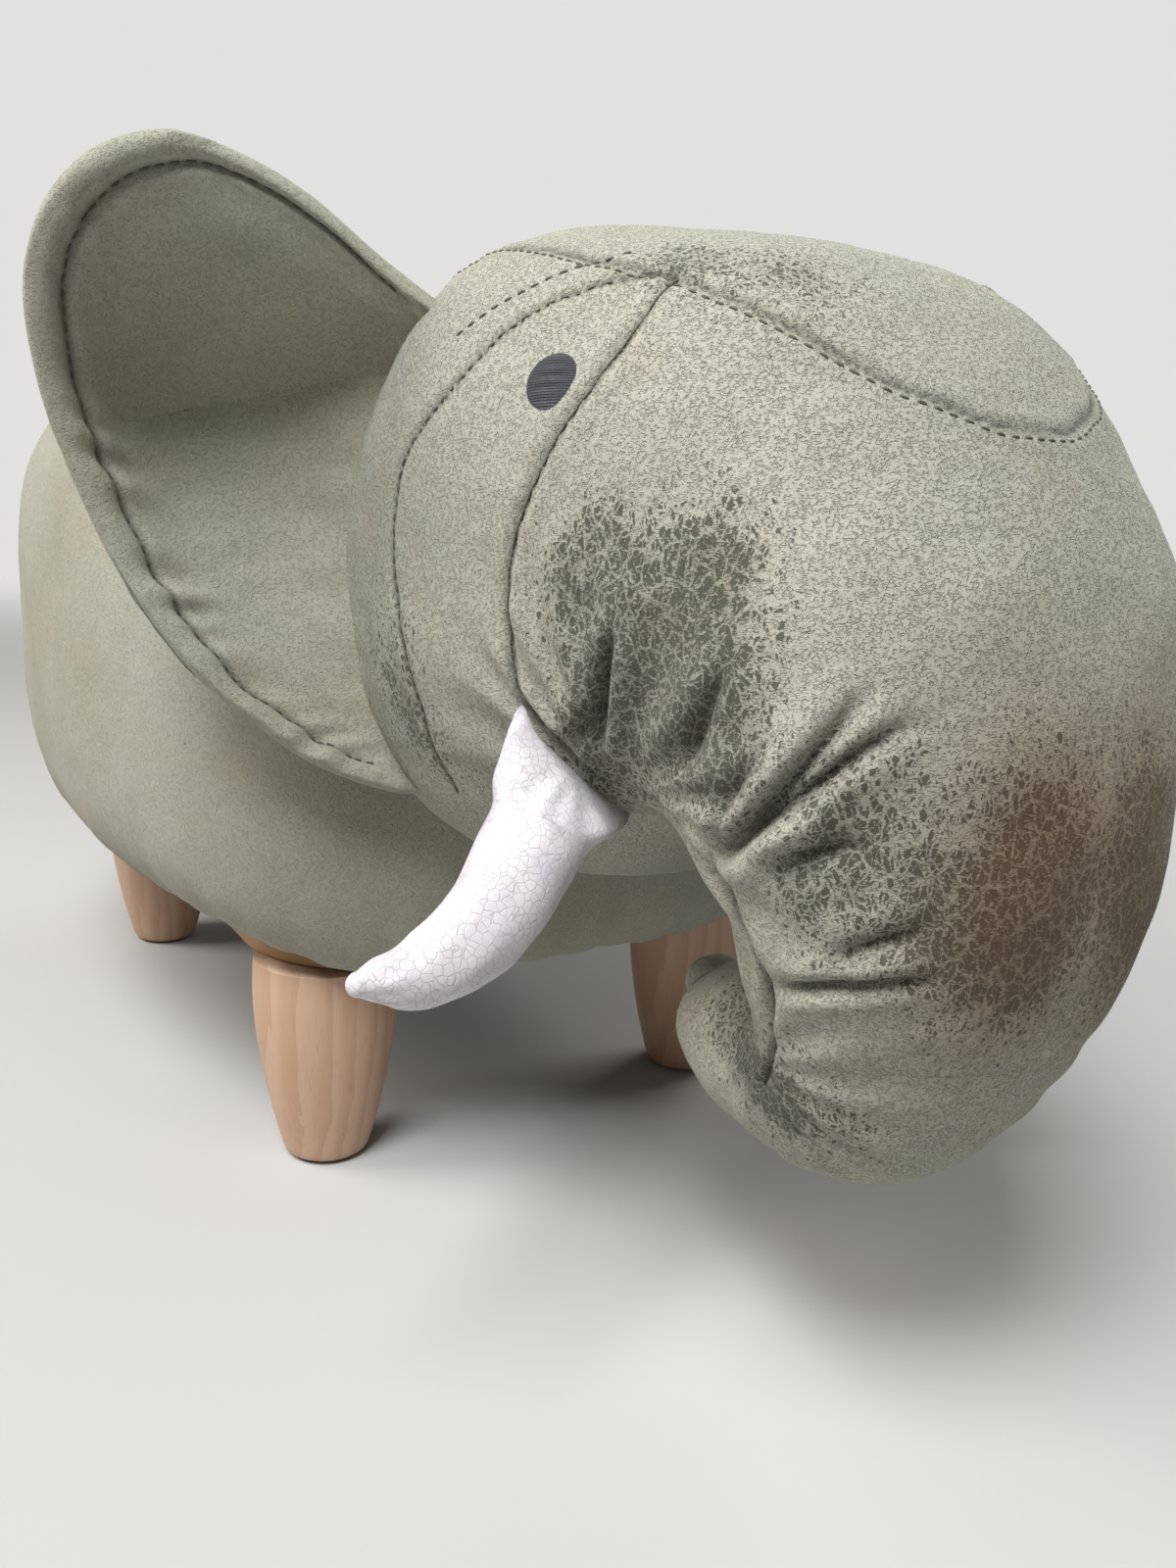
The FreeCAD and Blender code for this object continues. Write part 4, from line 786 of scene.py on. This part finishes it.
def worn_suede(name, nap, ground, base_wear, grain_share):
    """Napped cloth printed like old hide: pale nap, pitted and worn open to a dark ground.

    The nap is creased along parts of the edges of small warped cells. The ground shows in the
    middle of cells of three sizes where wear is high, so that pale ragged veins stay between.
    """
    made, tree, shader = new_material(name)
    place = object_place(tree)

    def warp(vector, scale, size):
        drift = add(tree, "TexNoise", Vector=vector, Scale=scale, Detail=1.0).outputs["Color"]
        drift = scaled(tree, vector_maths(tree, "SUBTRACT", drift, (0.5, 0.5, 0.5)), size)
        return vector_maths(tree, "ADD", vector, drift)

    bent = warp(place, 150.0, 0.0036)
    warped = warp(bent, 800.0, 0.0008)
    slanted = add(tree, "Mapping", Vector=warped, Rotation=(0.5, 0.35, 0.3), Scale=(1.0, 1.0, 0.6))
    flat = add(tree, "Mapping", Vector=bent, Rotation=(0.2, -0.1, 0.1), Scale=(0.66, 0.66, 1.3))
    large, medium = (edge_distance(tree, slanted.outputs[0], scale) for scale in (270.0, 620.0))
    grain = edge_distance(tree, flat.outputs[0], 1150.0)
    fine = noise(tree, flat.outputs[0], 1500.0, 2.0, 0.6)
    worn, brown, crease = (add(tree, "Attribute", {"attribute_name": word}).outputs["Fac"]
                           for word in ("worn", "brown", "crease"))
    patch = maths(tree, "SUBTRACT", noise(tree, place, 26.0, 4.0, 0.62), 0.5)
    cloud = maths(tree, "SUBTRACT", noise(tree, place, 150.0, 2.0, 0.6), 0.5)
    wear = maths(tree, "ADD", worn, maths(tree, "MULTIPLY_ADD", patch, 0.55, base_wear))
    wear = maths(tree, "MULTIPLY_ADD", cloud, 0.45, wear)
    inside = maths(tree, "MINIMUM", spread(tree, large, 0.02, 0.18),
                   spread(tree, medium, 0.03, 0.26, 0.20, 1.0))
    inside = maths(tree, "MULTIPLY_ADD", maths(tree, "SUBTRACT", fine, 0.5), 1.9, inside)
    over = maths(tree, "SUBTRACT", inside, spread(tree, wear, -0.25, 0.85, 1.50, 0.24))
    opened = spread(tree, over, -0.10, 0.16)
    # creases in the nap: parts of the cells' edges only
    some = spread(tree, noise(tree, place, 800.0, 2.0, 0.6), 0.44, 0.60)
    line = maths(tree, "MULTIPLY", spread(tree, grain, 0.02, 0.16, 1.0, 0.0), some)
    pit = spread(tree, fine, 0.60, 0.74)
    dent = maths(tree, "MAXIMUM", line, maths(tree, "MULTIPLY", pit, 0.7))
    dent = maths(tree, "MULTIPLY", dent, grain_share)
    mottle = noise(tree, place, 11.0, 3.0, 0.5)
    tone = blend_colour(tree, spread(tree, mottle, 0.3, 0.7), colour(*nap), colour(155, 155, 142))
    warmth = spread(tree, noise(tree, place, 31.0, 3.0, 0.6), 0.5, 0.8, 0.0, 0.5)
    tone = blend_colour(tree, warmth, tone, colour(162, 151, 132))
    tone = blend_colour(tree, maths(tree, "MULTIPLY", brown, 0.8), tone, colour(130, 110, 86))
    under = blend_colour(tree, brown, colour(*ground), colour(72, 57, 39))
    shade = blend_colour(tree, maths(tree, "MULTIPLY", dent, 0.13), tone, under)
    shade = blend_colour(tree, maths(tree, "MULTIPLY", opened, 0.86), shade, under)
    shade = blend_colour(tree, spread(tree, wear, 0.3, 1.1, 0.0, 0.40), shade, under)
    fleck = noise(tree, place, 2300.0, 2.0, 0.6)
    light = add(tree, "MapRange", Value=fleck, From_Min=0.25, From_Max=0.75, To_Min=0.84, To_Max=1.16)
    shade = scaled(tree, shade, light.outputs[0])
    # painted shade: the crease attribute darkens the cloth towards a dark olive in the sewn lines, the
    # folds and the ears' pinch line
    shade = blend_colour(tree, maths(tree, "MULTIPLY", crease, 0.75), shade, colour(50, 49, 40))
    hollow = maths(tree, "MAXIMUM", dent, maths(tree, "MULTIPLY", opened, 0.6))
    hollow = maths(tree, "MULTIPLY", hollow, -1.0)
    relief = maths(tree, "MULTIPLY_ADD", fleck, 0.25, hollow)
    relief = maths(tree, "MULTIPLY_ADD", noise(tree, place, 190.0, 3.0), 0.8, relief)
    surface(tree, shader, shade, spread(tree, fleck, 0.2, 0.8, 0.80, 0.95), relief, 0.9, 0.0007,
            Specular_IOR_Level=0.14, Sheen_Weight=0.14, Sheen_Roughness=0.5,
            Sheen_Tint=colour(218, 216, 206))
    return made


def pebbled_leather(name):
    """Soft white leatherette: flat uneven cells with thin dark creases between them.

    The cells' edges are bent by a slow noise, and a second, finer set of cells creases
    the first where another noise is high.
    """
    made, tree, shader = new_material(name)
    place = object_place(tree)
    drift = add(tree, "TexNoise", Vector=place, Scale=260.0, Detail=1.0).outputs["Color"]
    bent = vector_maths(tree, "ADD", place, scaled(tree, drift, 0.0022))
    broad = noise(tree, place, 60.0, 3.0)
    crease = spread(tree, edge_distance(tree, bent, 400.0), 0.0, 0.075, 1.0, 0.0)
    second = maths(tree, "MULTIPLY", spread(tree, edge_distance(tree, bent, 900.0), 0.0, 0.10, 0.7, 0.0),
                   spread(tree, broad, 0.4, 0.65))
    crease = maths(tree, "MAXIMUM", crease, second)
    tone = blend_colour(tree, spread(tree, broad, 0.35, 0.7), colour(205, 200, 204), colour(195, 190, 198))
    tone = blend_colour(tree, maths(tree, "MULTIPLY", crease, 0.34), tone, colour(128, 118, 124))
    relief = maths(tree, "SUBTRACT", maths(tree, "MULTIPLY", noise(tree, place, 150.0, 3.0), 1.6), crease)
    surface(tree, shader, tone, spread(tree, broad, 0.3, 0.7, 0.42, 0.55), relief, 0.4, 0.0003,
            Specular_IOR_Level=0.4)
    return made


def satin_thread(name):
    """Rows of embroidery thread: fine ridges that run across the eye, broken every few. Each row's middle
    is painted lighter as a gleam on the thread.
    """
    made, tree, shader = new_material(name)
    place = add(tree, "UVMap", {"uv_map": "UVMap"}).outputs[0]
    rows = add(tree, "TexWave", {"wave_type": "BANDS", "bands_direction": "Y", "wave_profile": "SIN"},
               Vector=place, Scale=7.5, Distortion=0.8, Detail=1.0, Detail_Scale=3.0).outputs["Fac"]
    runs = add(tree, "TexBrick", {"offset": 0.5}, Vector=place, Scale=9.0, Mortar_Size=0.03,
               Brick_Width=0.6, Row_Height=0.21).outputs["Fac"]
    # painted gleam: the lighter blue along the middle of each thread row stands for light caught on its
    # ridge
    tone = blend_colour(tree, rows, colour(20, 23, 33), colour(48, 53, 70))
    tone = blend_colour(tree, runs, tone, colour(18, 20, 28))
    relief = maths(tree, "SUBTRACT", rows, maths(tree, "MULTIPLY", runs, 0.7))
    surface(tree, shader, tone, 0.42, relief, 0.8, 0.0005, Sheen_Weight=0.2)
    return made


def turned_wood(name):
    """Pale turned wood: growth rings cut along the grain, fine pores and a few dark streaks."""
    made, tree, shader = new_material(name)
    long = object_place(tree, (1, 1, 0.07))
    warp = add(tree, "TexNoise", Vector=object_place(tree, (1, 1, 0.16)), Scale=24.0, Detail=3.0)
    rings = add(tree, "TexWave", {"wave_type": "BANDS", "bands_direction": "X", "wave_profile": "SAW"},
                Vector=long, Scale=38.0, Distortion=9.0, Detail=3.0, Detail_Scale=1.2,
                Detail_Roughness=0.6).outputs["Fac"]
    pores = noise(tree, object_place(tree, (1, 1, 0.03)), 1400.0, 3.0, 0.6)
    broad = warp.outputs["Fac"]
    tone = blend_colour(tree, spread(tree, rings, 0.15, 0.95), colour(188, 155, 130), colour(177, 142, 115))
    tone = blend_colour(tree, spread(tree, broad, 0.52, 0.75, 0.0, 0.6), tone, colour(166, 127, 100))
    tone = blend_colour(tree, spread(tree, pores, 0.55, 0.8, 0.0, 0.4), tone, colour(146, 112, 86))
    relief = maths(tree, "ADD", maths(tree, "MULTIPLY", pores, -0.6), maths(tree, "MULTIPLY", rings, 0.25))
    surface(tree, shader, tone, spread(tree, pores, 0.3, 0.7, 0.42, 0.58), relief, 0.3, 0.0004,
            Coat_Weight=0.12, Coat_Roughness=0.35)
    return made


def plain_finish(name, light, dark, scale, rough, metal=0.0, stretch=(1, 1, 1), relief=0.2):
    """A finish of two tones by noise, stretched along a grain where it has one."""
    made, tree, shader = new_material(name)
    place = object_place(tree, stretch)
    value = noise(tree, place, scale, 4.0, 0.6)
    tone = blend_colour(tree, spread(tree, value, 0.3, 0.7), colour(*light), colour(*dark))
    rough = spread(tree, value, 0.2, 0.8, rough - 0.06, rough + 0.08)
    surface(tree, shader, tone, rough, value, relief, 0.0004, Metallic=metal)
    return made


def dress(piece, material, body, slot, *nodes):
    """Give a piece its material and the body that it rides on, and hide the parts that it stands for. The
    slot is not used.
    """
    piece.data.materials.clear()
    piece.data.materials.append(material)
    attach(piece, body)
    if nodes:
        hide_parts(*nodes)
    return piece


# The camera and the room


BACKDROP = colour(226, 225, 223)


def place_camera():
    """The photograph's camera, from its turns, place and lens."""
    right, down, ahead = camera_axes()
    data = bpy.data.cameras.new("camera")
    data.sensor_fit, data.sensor_width, data.lens = "AUTO", CAMERA_SENSOR, CAMERA_LENS
    data.clip_start = 0.02
    camera = bpy.data.objects.new("camera", data)
    bpy.context.scene.collection.objects.link(camera)
    turned = Matrix(np.stack([right, -down, -ahead], 1).tolist()).to_4x4()
    camera.matrix_world = Matrix.Translation((CAMERA_PLACE + [0, SHIFT, 0]) * MM) @ turned
    bpy.context.scene.camera = camera


def mixed(tree, part, first, second, output):
    """Mix two shaders by a part and send them to the output."""
    both = tree.nodes.new("ShaderNodeMixShader")
    for number, value in enumerate((part, first.outputs[0], second.outputs[0])):
        plug(tree, both.inputs[number], value)
    plug(tree, output.inputs[0], both.outputs[0])


def lamp(name, place, aim, size, power, tint=(1, 1, 1)):
    """A square softbox that faces a point."""
    data = bpy.data.lights.new(name, "AREA")
    data.shape, data.size, data.energy, data.color = "SQUARE", size, power, tint
    light = bpy.data.objects.new(name, data)
    light.location = place
    light.rotation_euler = (Vector(aim) - Vector(place)).to_track_quat("-Z", "Y").to_euler()
    bpy.context.scene.collection.objects.link(light)


def place_room():
    """A pale floor and world, a softbox over the front and two weaker ones at the sides."""
    points = np.array([(-9, -9, -0.0006), (9, -9, -0.0006), (9, 9, -0.0006), (-9, 9, -0.0006)], float)
    floor = mesh_piece("floor", points, [np.array([[0, 1, 2, 3]])], False)
    made, tree, shader = new_material("floor_paint")
    tone = noise(tree, object_place(tree), 2.0, 2.0)
    tone = blend_colour(tree, tone, colour(176, 175, 174), colour(182, 181, 180))
    plug(tree, shader.inputs["Base Color"], tone)
    shader.inputs["Roughness"].default_value = 0.75
    shader.inputs["Specular IOR Level"].default_value = 0.2
    # beyond the stool's shadow the floor passes into the backdrop's tone for the camera
    away = add(tree, "VectorMath", {"operation": "LENGTH"}, _0=add(tree, "TexCoord").outputs["Object"])
    path = tree.nodes.new("ShaderNodeLightPath")
    far = spread(tree, away.outputs["Value"], 0.9, 3.2)
    far = maths(tree, "MULTIPLY", far, path.outputs["Is Camera Ray"])
    glow = add(tree, "Emission", Color=BACKDROP, Strength=1.0)
    output = next(node for node in tree.nodes if node.bl_idname == "ShaderNodeOutputMaterial")
    mixed(tree, far, shader, glow, output)
    floor.data.materials.append(made)
    world = bpy.data.worlds.new("studio")
    bpy.context.scene.world = world
    world.use_nodes = True
    tree = world.node_tree
    tree.nodes.clear()
    path = tree.nodes.new("ShaderNodeLightPath")
    seen = maths(tree, "MAXIMUM", path.outputs["Is Camera Ray"], path.outputs["Is Transmission Ray"])
    seen = maths(tree, "MAXIMUM", seen, path.outputs["Is Glossy Ray"])
    back = add(tree, "Background", Color=BACKDROP, Strength=1.0)
    fill = add(tree, "Background", Color=(1.0, 0.94, 0.86, 1), Strength=0.10)
    mixed(tree, seen, fill, back, tree.nodes.new("ShaderNodeOutputWorld"))
    middle = (0, 0, 0.22)
    lamp("lamp_over", (-0.85, -0.78, 1.80), middle, 0.8, 55, (0.975, 0.99, 1.0))
    lamp("lamp_left", (-1.5, 0.7, 1.45), middle, 0.9, 30, (1.0, 0.96, 0.9))
    lamp("lamp_right", (1.9, 0.4, 1.3), middle, 1.4, 26, (1.0, 0.985, 0.96))
    bpy.context.scene.view_settings.view_transform = "Standard"


# Making: camera and room, finishes, then the padded forms and what is sewn on them

place_camera()
place_room()

COAT = worn_suede("coat_suede", (161, 159, 147), (60, 62, 51), -0.02, 0.8)
SMOOTH_COAT = worn_suede("coat_smooth", (144, 141, 125), (66, 67, 56), -0.14, 0.35)
LEATHERETTE = pebbled_leather("tusk_leatherette")
SATIN = satin_thread("eye_satin")
WOOD = turned_wood("leg_wood")
THREAD = plain_finish("sewing_thread", (84, 82, 68), (66, 66, 54), 900.0, 0.7)
PLYWOOD = plain_finish("frame_plywood", (196, 160, 118), (170, 134, 96), 30.0, 0.7, 0.0, (1, 0.08, 1), 0.3)
DUST_CLOTH = plain_finish("dust_cloth", (26, 26, 27), (40, 40, 41), 900.0, 0.95, 0.0, (1, 1, 1), 0.7)
FOAM = plain_finish("seat_foam", (226, 214, 172), (206, 192, 148), 420.0, 0.95, 0.0, (1, 1, 1), 1.0)
ZINC = plain_finish("zinc_plate", (182, 184, 188), (150, 152, 158), 240.0, 0.36, 1.0)

KEPT = {
    PLYWOOD: ("base_board", "front_panel", "rear_panel", "left_rail", "right_rail", "seat_board",
              "neck_block", "head_board", "front_left_glue_block", "front_right_glue_block",
              "rear_left_glue_block", "rear_right_glue_block"),
    DUST_CLOTH: ("dust_cover",),
    FOAM: ("seat_foam",),
    ZINC: ("leg_bolts", "tee_nuts", "frame_screws", "neck_bolts", "neck_washers", "neck_nuts",
           "dust_cover_staples"),
}
for finish, members in KEPT.items():
    for member in members:
        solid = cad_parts[member]
        if not solid.material_slots:
            solid.data.materials.append(finish)
        for place in solid.material_slots:
            place.material = finish

# The body
body_grid = body_skin()
body_worn = 0.28 * ramp(waves(body_grid, 0.11, 31), -0.1, 0.9) * ramp(body_grid[..., 2], 0.10, 0.22)
body = tube_piece("stool_body", body_grid, body_grid[0].mean(0), body_grid[-1].mean(0),
                  [("worn", body_worn), ("brown", body_worn * 0.15), ("crease", body_worn * 0)])
dress(body, SMOOTH_COAT, "stool", "coat", "body_cushion")

# The head with its trunk
head_grid, head_near, head_fold_shade = head_skin()
head_normal = normals_of(head_grid)
folded = one_side(head_grid)
# worn spots: a pixel of the photograph, a reach in millimetres and an amount. A brown spot
# has no amount of its own
WORN_SPOTS = (
    ((590, 560), 15, 0.40), ((660, 540), 15, 0.40), ((740, 570), 16, 0.42), ((600, 640), 16, 0.45),
    ((680, 640), 18, 0.55), ((760, 650), 15, 0.40), ((610, 720), 16, 0.50), ((690, 720), 18, 0.55),
    ((640, 790), 15, 0.40), ((680, 265), 16, 0.40), ((760, 280), 17, 0.42), ((840, 300), 15, 0.30),
    ((400, 700), 15, 0.50), ((440, 760), 15, 0.50), ((420, 640), 13, 0.28), ((850, 840), 14, 0.35),
    ((900, 780), 12, 0.28), ((740, 1030), 17, 0.55), ((760, 1080), 17, 0.50), ((800, 1130), 17, 0.45),
    ((850, 1150), 15, 0.35), ((696, 703), 14, 0.20), ((750, 729), 14, 0.35), ((670, 770), 14, 0.40),
    ((730, 796), 14, 0.45), ((603, 770), 13, 0.30), ((650, 816), 13, 0.30), ((803.5, 903.5), 15, 0.30),
    ((884, 850), 14, 0.22), ((857, 957), 16, 0.30), ((937, 930), 16, 0.25), ((1044.5, 850), 17, 0.30),
    ((1071, 930), 18, 0.30), ((1017.5, 984), 18, 0.35), ((803.5, 1064), 16, 0.25),
    ((382, 622), 12, 0.30), ((549, 609), 12, 0.25),
)
BROWN_SPOTS = (
    ((1060, 780), 26), ((1120, 850), 26), ((1050, 880), 26), ((1100, 960), 26), ((1000, 960), 22),
    ((1003, 1050.5), 22),
)
head_worn = np.zeros(head_grid.shape[:2])
for middle, (_, size, amount) in zip(on_head([spot[0] for spot in WORN_SPOTS]), WORN_SPOTS):
    gap = np.linalg.norm(folded - middle, axis=2)
    head_worn += 1.15 * amount * bump_round(gap, size * MM)
head_worn = np.clip(head_worn * (1 + 0.35 * waves(head_grid, 0.03, 41)), 0, 1)
head_brown = np.zeros(head_grid.shape[:2])
for middle, (_, size) in zip(on_head([spot[0] for spot in BROWN_SPOTS]), BROWN_SPOTS):
    gap = np.linalg.norm(folded - middle, axis=2)
    head_brown += 0.42 * bump_round(gap, size * MM)
head_worn = np.clip(head_worn + 0.45 * head_brown, 0, 1)
# painted shade: a thin dark line along the sewn lines and a wider dark band in the folds, kept in the
# crease attribute
head_seam_and_fold_shade = np.maximum(bump_round(head_near, 0.0011), 0.6 * head_fold_shade)
head = tube_piece("stuffed_head", head_grid, head_grid[0].mean(0), HEAD_TIP,
                  [("worn", head_worn), ("brown", np.clip(head_brown, 0, 1)), ("crease", head_seam_and_fold_shade)])
dress(head, COAT, "stool", "coat", "head")

# The ears and their topstitching
for side, word in ((1, "left"), (-1, "right")):
    ear_grid, to_rim, rim, root = ear_skin(60 + side)
    run = np.linspace(0, 1, ear_grid.shape[0])[:, None]
    worn = 0.10 * ramp(waves(ear_grid, 0.07, 51 + side), -0.2, 0.9)
    worn = worn + 0.12 * bump_round(to_rim - 20, 9) * ramp(0.55 - run, 0, 0.2)
    span = to_rim.max(1, keepdims=True)
    # painted shade: a dark line along the pinch line inside the rim, kept in the crease attribute
    crease = 0.8 * bump_round(to_rim - EAR_PINCH_INSET, 1.1) * ramp(span, 20, 60)
    if side < 0:
        ear_grid, worn, crease = mirrored(ear_grid), worn[:, ::-1], crease[:, ::-1]
    ear = tube_piece(word + "_ear_pad", ear_grid, ear_grid[0].mean(0), ear_grid[-1].mean(0),
                     [("worn", worn), ("brown", worn * 0.2), ("crease", crease)])
    dress(ear, SMOOTH_COAT, word + "_ear", "coat", word + "_ear")
    normal = normals_of(ear_grid)
    inward = root - rim
    keep = np.linalg.norm(inward, axis=1) > EAR_STITCH_LEAST_SPAN
    inward = inward[keep] / np.linalg.norm(inward[keep], axis=1, keepdims=True)
    line = rim[keep] + inward * EAR_STITCH_INSET
    spot = ear_spot(line[:, 0], ear_back(line[:, 0], line[:, 1]), line[:, 1]) * MM * [side, 1, 1]
    stitch_count = int(np.linalg.norm(np.diff(spot, axis=0), axis=1).sum() / 0.0042)
    path = even_path(spot[::6], stitch_count)
    for face, start in (("front", 1), ("back", -1)):
        half = slice(92, None) if start == side else slice(None, 91)
        near, out = nearest_skin(ear_grid[:, half], normal[:, half], path, 4)
        along = np.gradient(near, axis=0)
        along /= np.linalg.norm(along, axis=1, keepdims=True)
        stitches = capsules(f"{word}_ear_{face}_stitches", near, along, out, 3.0, 0.42)
        dress(stitches, THREAD, word + "_ear", "coat")

# The tusks
tusk_grid, tusk_tip = tusk_skin()
for side, word in ((1, "left"), (-1, "right")):
    grid = tusk_grid if side > 0 else mirrored(tusk_grid)
    tusk = tube_piece(word + "_tusk_pad", grid, grid[0].mean(0), tusk_tip * [side, 1, 1])
    dress(tusk, LEATHERETTE, "stool", "tusk_leather", word + "_tusk")

# The eyes: domed ovals of satin stitch worked straight on the face
EYE_MIDDLE = on_head([(561, 388)])[0]
EYE_HALF_WIDTH, EYE_HALF_HEIGHT = 8.5, 7.75
EYE_THREAD_PITCH = 0.9
EYE_PATTERN_SIZE = 0.0165
rings, around = 26, 72
share = np.linspace(0, 1, rings)[1:, None]
angle = np.linspace(0, 2 * HALF_TURN, around, endpoint=False)[None]
_, eye_out = nearest_skin(head_grid, head_normal, EYE_MIDDLE[None], 12)
eye_out = eye_out[0]
eye_up = np.array([0, 0, 1.0]) - eye_out * eye_out[2]
eye_up /= np.linalg.norm(eye_up)
eye_side = np.cross(eye_up, eye_out)
oval = np.cos(angle)[..., None] * eye_side * EYE_HALF_WIDTH \
    + np.sin(angle)[..., None] * eye_up * EYE_HALF_HEIGHT
flat = EYE_MIDDLE + share[..., None] * oval * MM
lain, _ = drop_on(head_grid, head_normal, flat.reshape(-1, 3), 10)
threads = 0.10 * np.sin(flat @ eye_up / MM * 2 * HALF_TURN / EYE_THREAD_PITCH)
rise = 1.35 * np.sqrt(np.clip(1 - share**2, 0, 1)) - 0.25 + threads * (1 - share**6)
eye_grid = lain.reshape(flat.shape) + eye_out * (rise * MM)[..., None]
hub = eye_grid[0].mean(0) + eye_out * 0.00002
col = np.arange(around)
fan = np.stack([np.full(around, (rings - 1) * around), col, (col + 1) % around], 1)
for flip, word in ((1, "right"), (-1, "left")):
    to_side = np.array([flip, 1, 1])
    grid = eye_grid if flip > 0 else mirrored(eye_grid)
    points = np.concatenate([grid.reshape(-1, 3), hub[None] * to_side])
    groups = [grid_faces(rings - 1, around, True), fan]
    for number, group in enumerate(groups):
        a, b, c = (points[group[:, k]] for k in range(3))
        if (np.cross(b - a, c - a) @ (eye_out * to_side)).sum() < 0:
            groups[number] = group[:, ::-1]
    eye = mesh_piece(word + "_eye_patch", points, groups)
    layer = eye.data.uv_layers.new(name="UVMap")
    corner = np.zeros(len(eye.data.loops), np.int32)
    eye.data.loops.foreach_get("vertex_index", corner)
    local = (points * to_side - EYE_MIDDLE) / EYE_PATTERN_SIZE
    uv = np.stack([local @ eye_side, local @ eye_up], 1) + 0.5
    layer.data.foreach_set("uv", uv[corner].astype(np.float32).ravel())
    dress(eye, SATIN, "stool", "eye_thread", "embroidered_eyes")

# Topstitching on the head, and the thread that shows in the face's seam, laid unbroken so that it also
# makes a painted shadow line in the seam's gap
for flip, word in ((1, "right"), (-1, "left")):
    to_side = np.array([flip, 1, 1])
    for title, line, offset, pitch, length, thick in (
        ("crown_stitches", CROWN_SEAM, 3.0, 3.9, 2.7, 0.42),
        ("cheek_stitches", CHEEK_SEAM[1:], 0.0, 3.9, 2.7, 0.42),
        ("brow_stitches", BROW_LINE, 0.0, 3.9, 2.7, 0.42),
        # unbroken dark thread: the seam's thread, and also a painted shadow in the face seam's gap
        ("face_seam_thread_and_shadow_line", FACE_SEAM, 0.0, 1.9, 2.3, 0.34),
    ):
        stitches = seam_stitches(f"{word}_{title}", head_grid, head_normal, line * to_side,
                                 offset * flip, pitch, length, thick)
        dress(stitches, THREAD, "stool", "coat")

# The legs and the tail
LEG_OUT, LEG_ALONG = 90, 138
for x, y, word in ((1, -1, "front_left"), (-1, -1, "front_right"),
                   (1, 1, "rear_left"), (-1, 1, "rear_right")):
    leg_grid = leg_skin(LEG_OUT * x, LEG_ALONG * y + SHIFT, 1.3 * x + y)
    leg = tube_piece(word + "_turned_leg", leg_grid, leg_grid[0].mean(0), leg_grid[-1].mean(0))
    dress(leg, WOOD, "stool", "turned_wood", word + "_leg")

tail_grid, tail_path = tail_skin()
unworn = np.zeros(tail_grid.shape[:2])
tail = tube_piece("tail_strap", tail_grid, tail_path[0], tail_path[-1],
                  [("worn", unworn), ("brown", unworn), ("crease", unworn)])
dress(tail, SMOOTH_COAT, "tail", "coat", "tail")
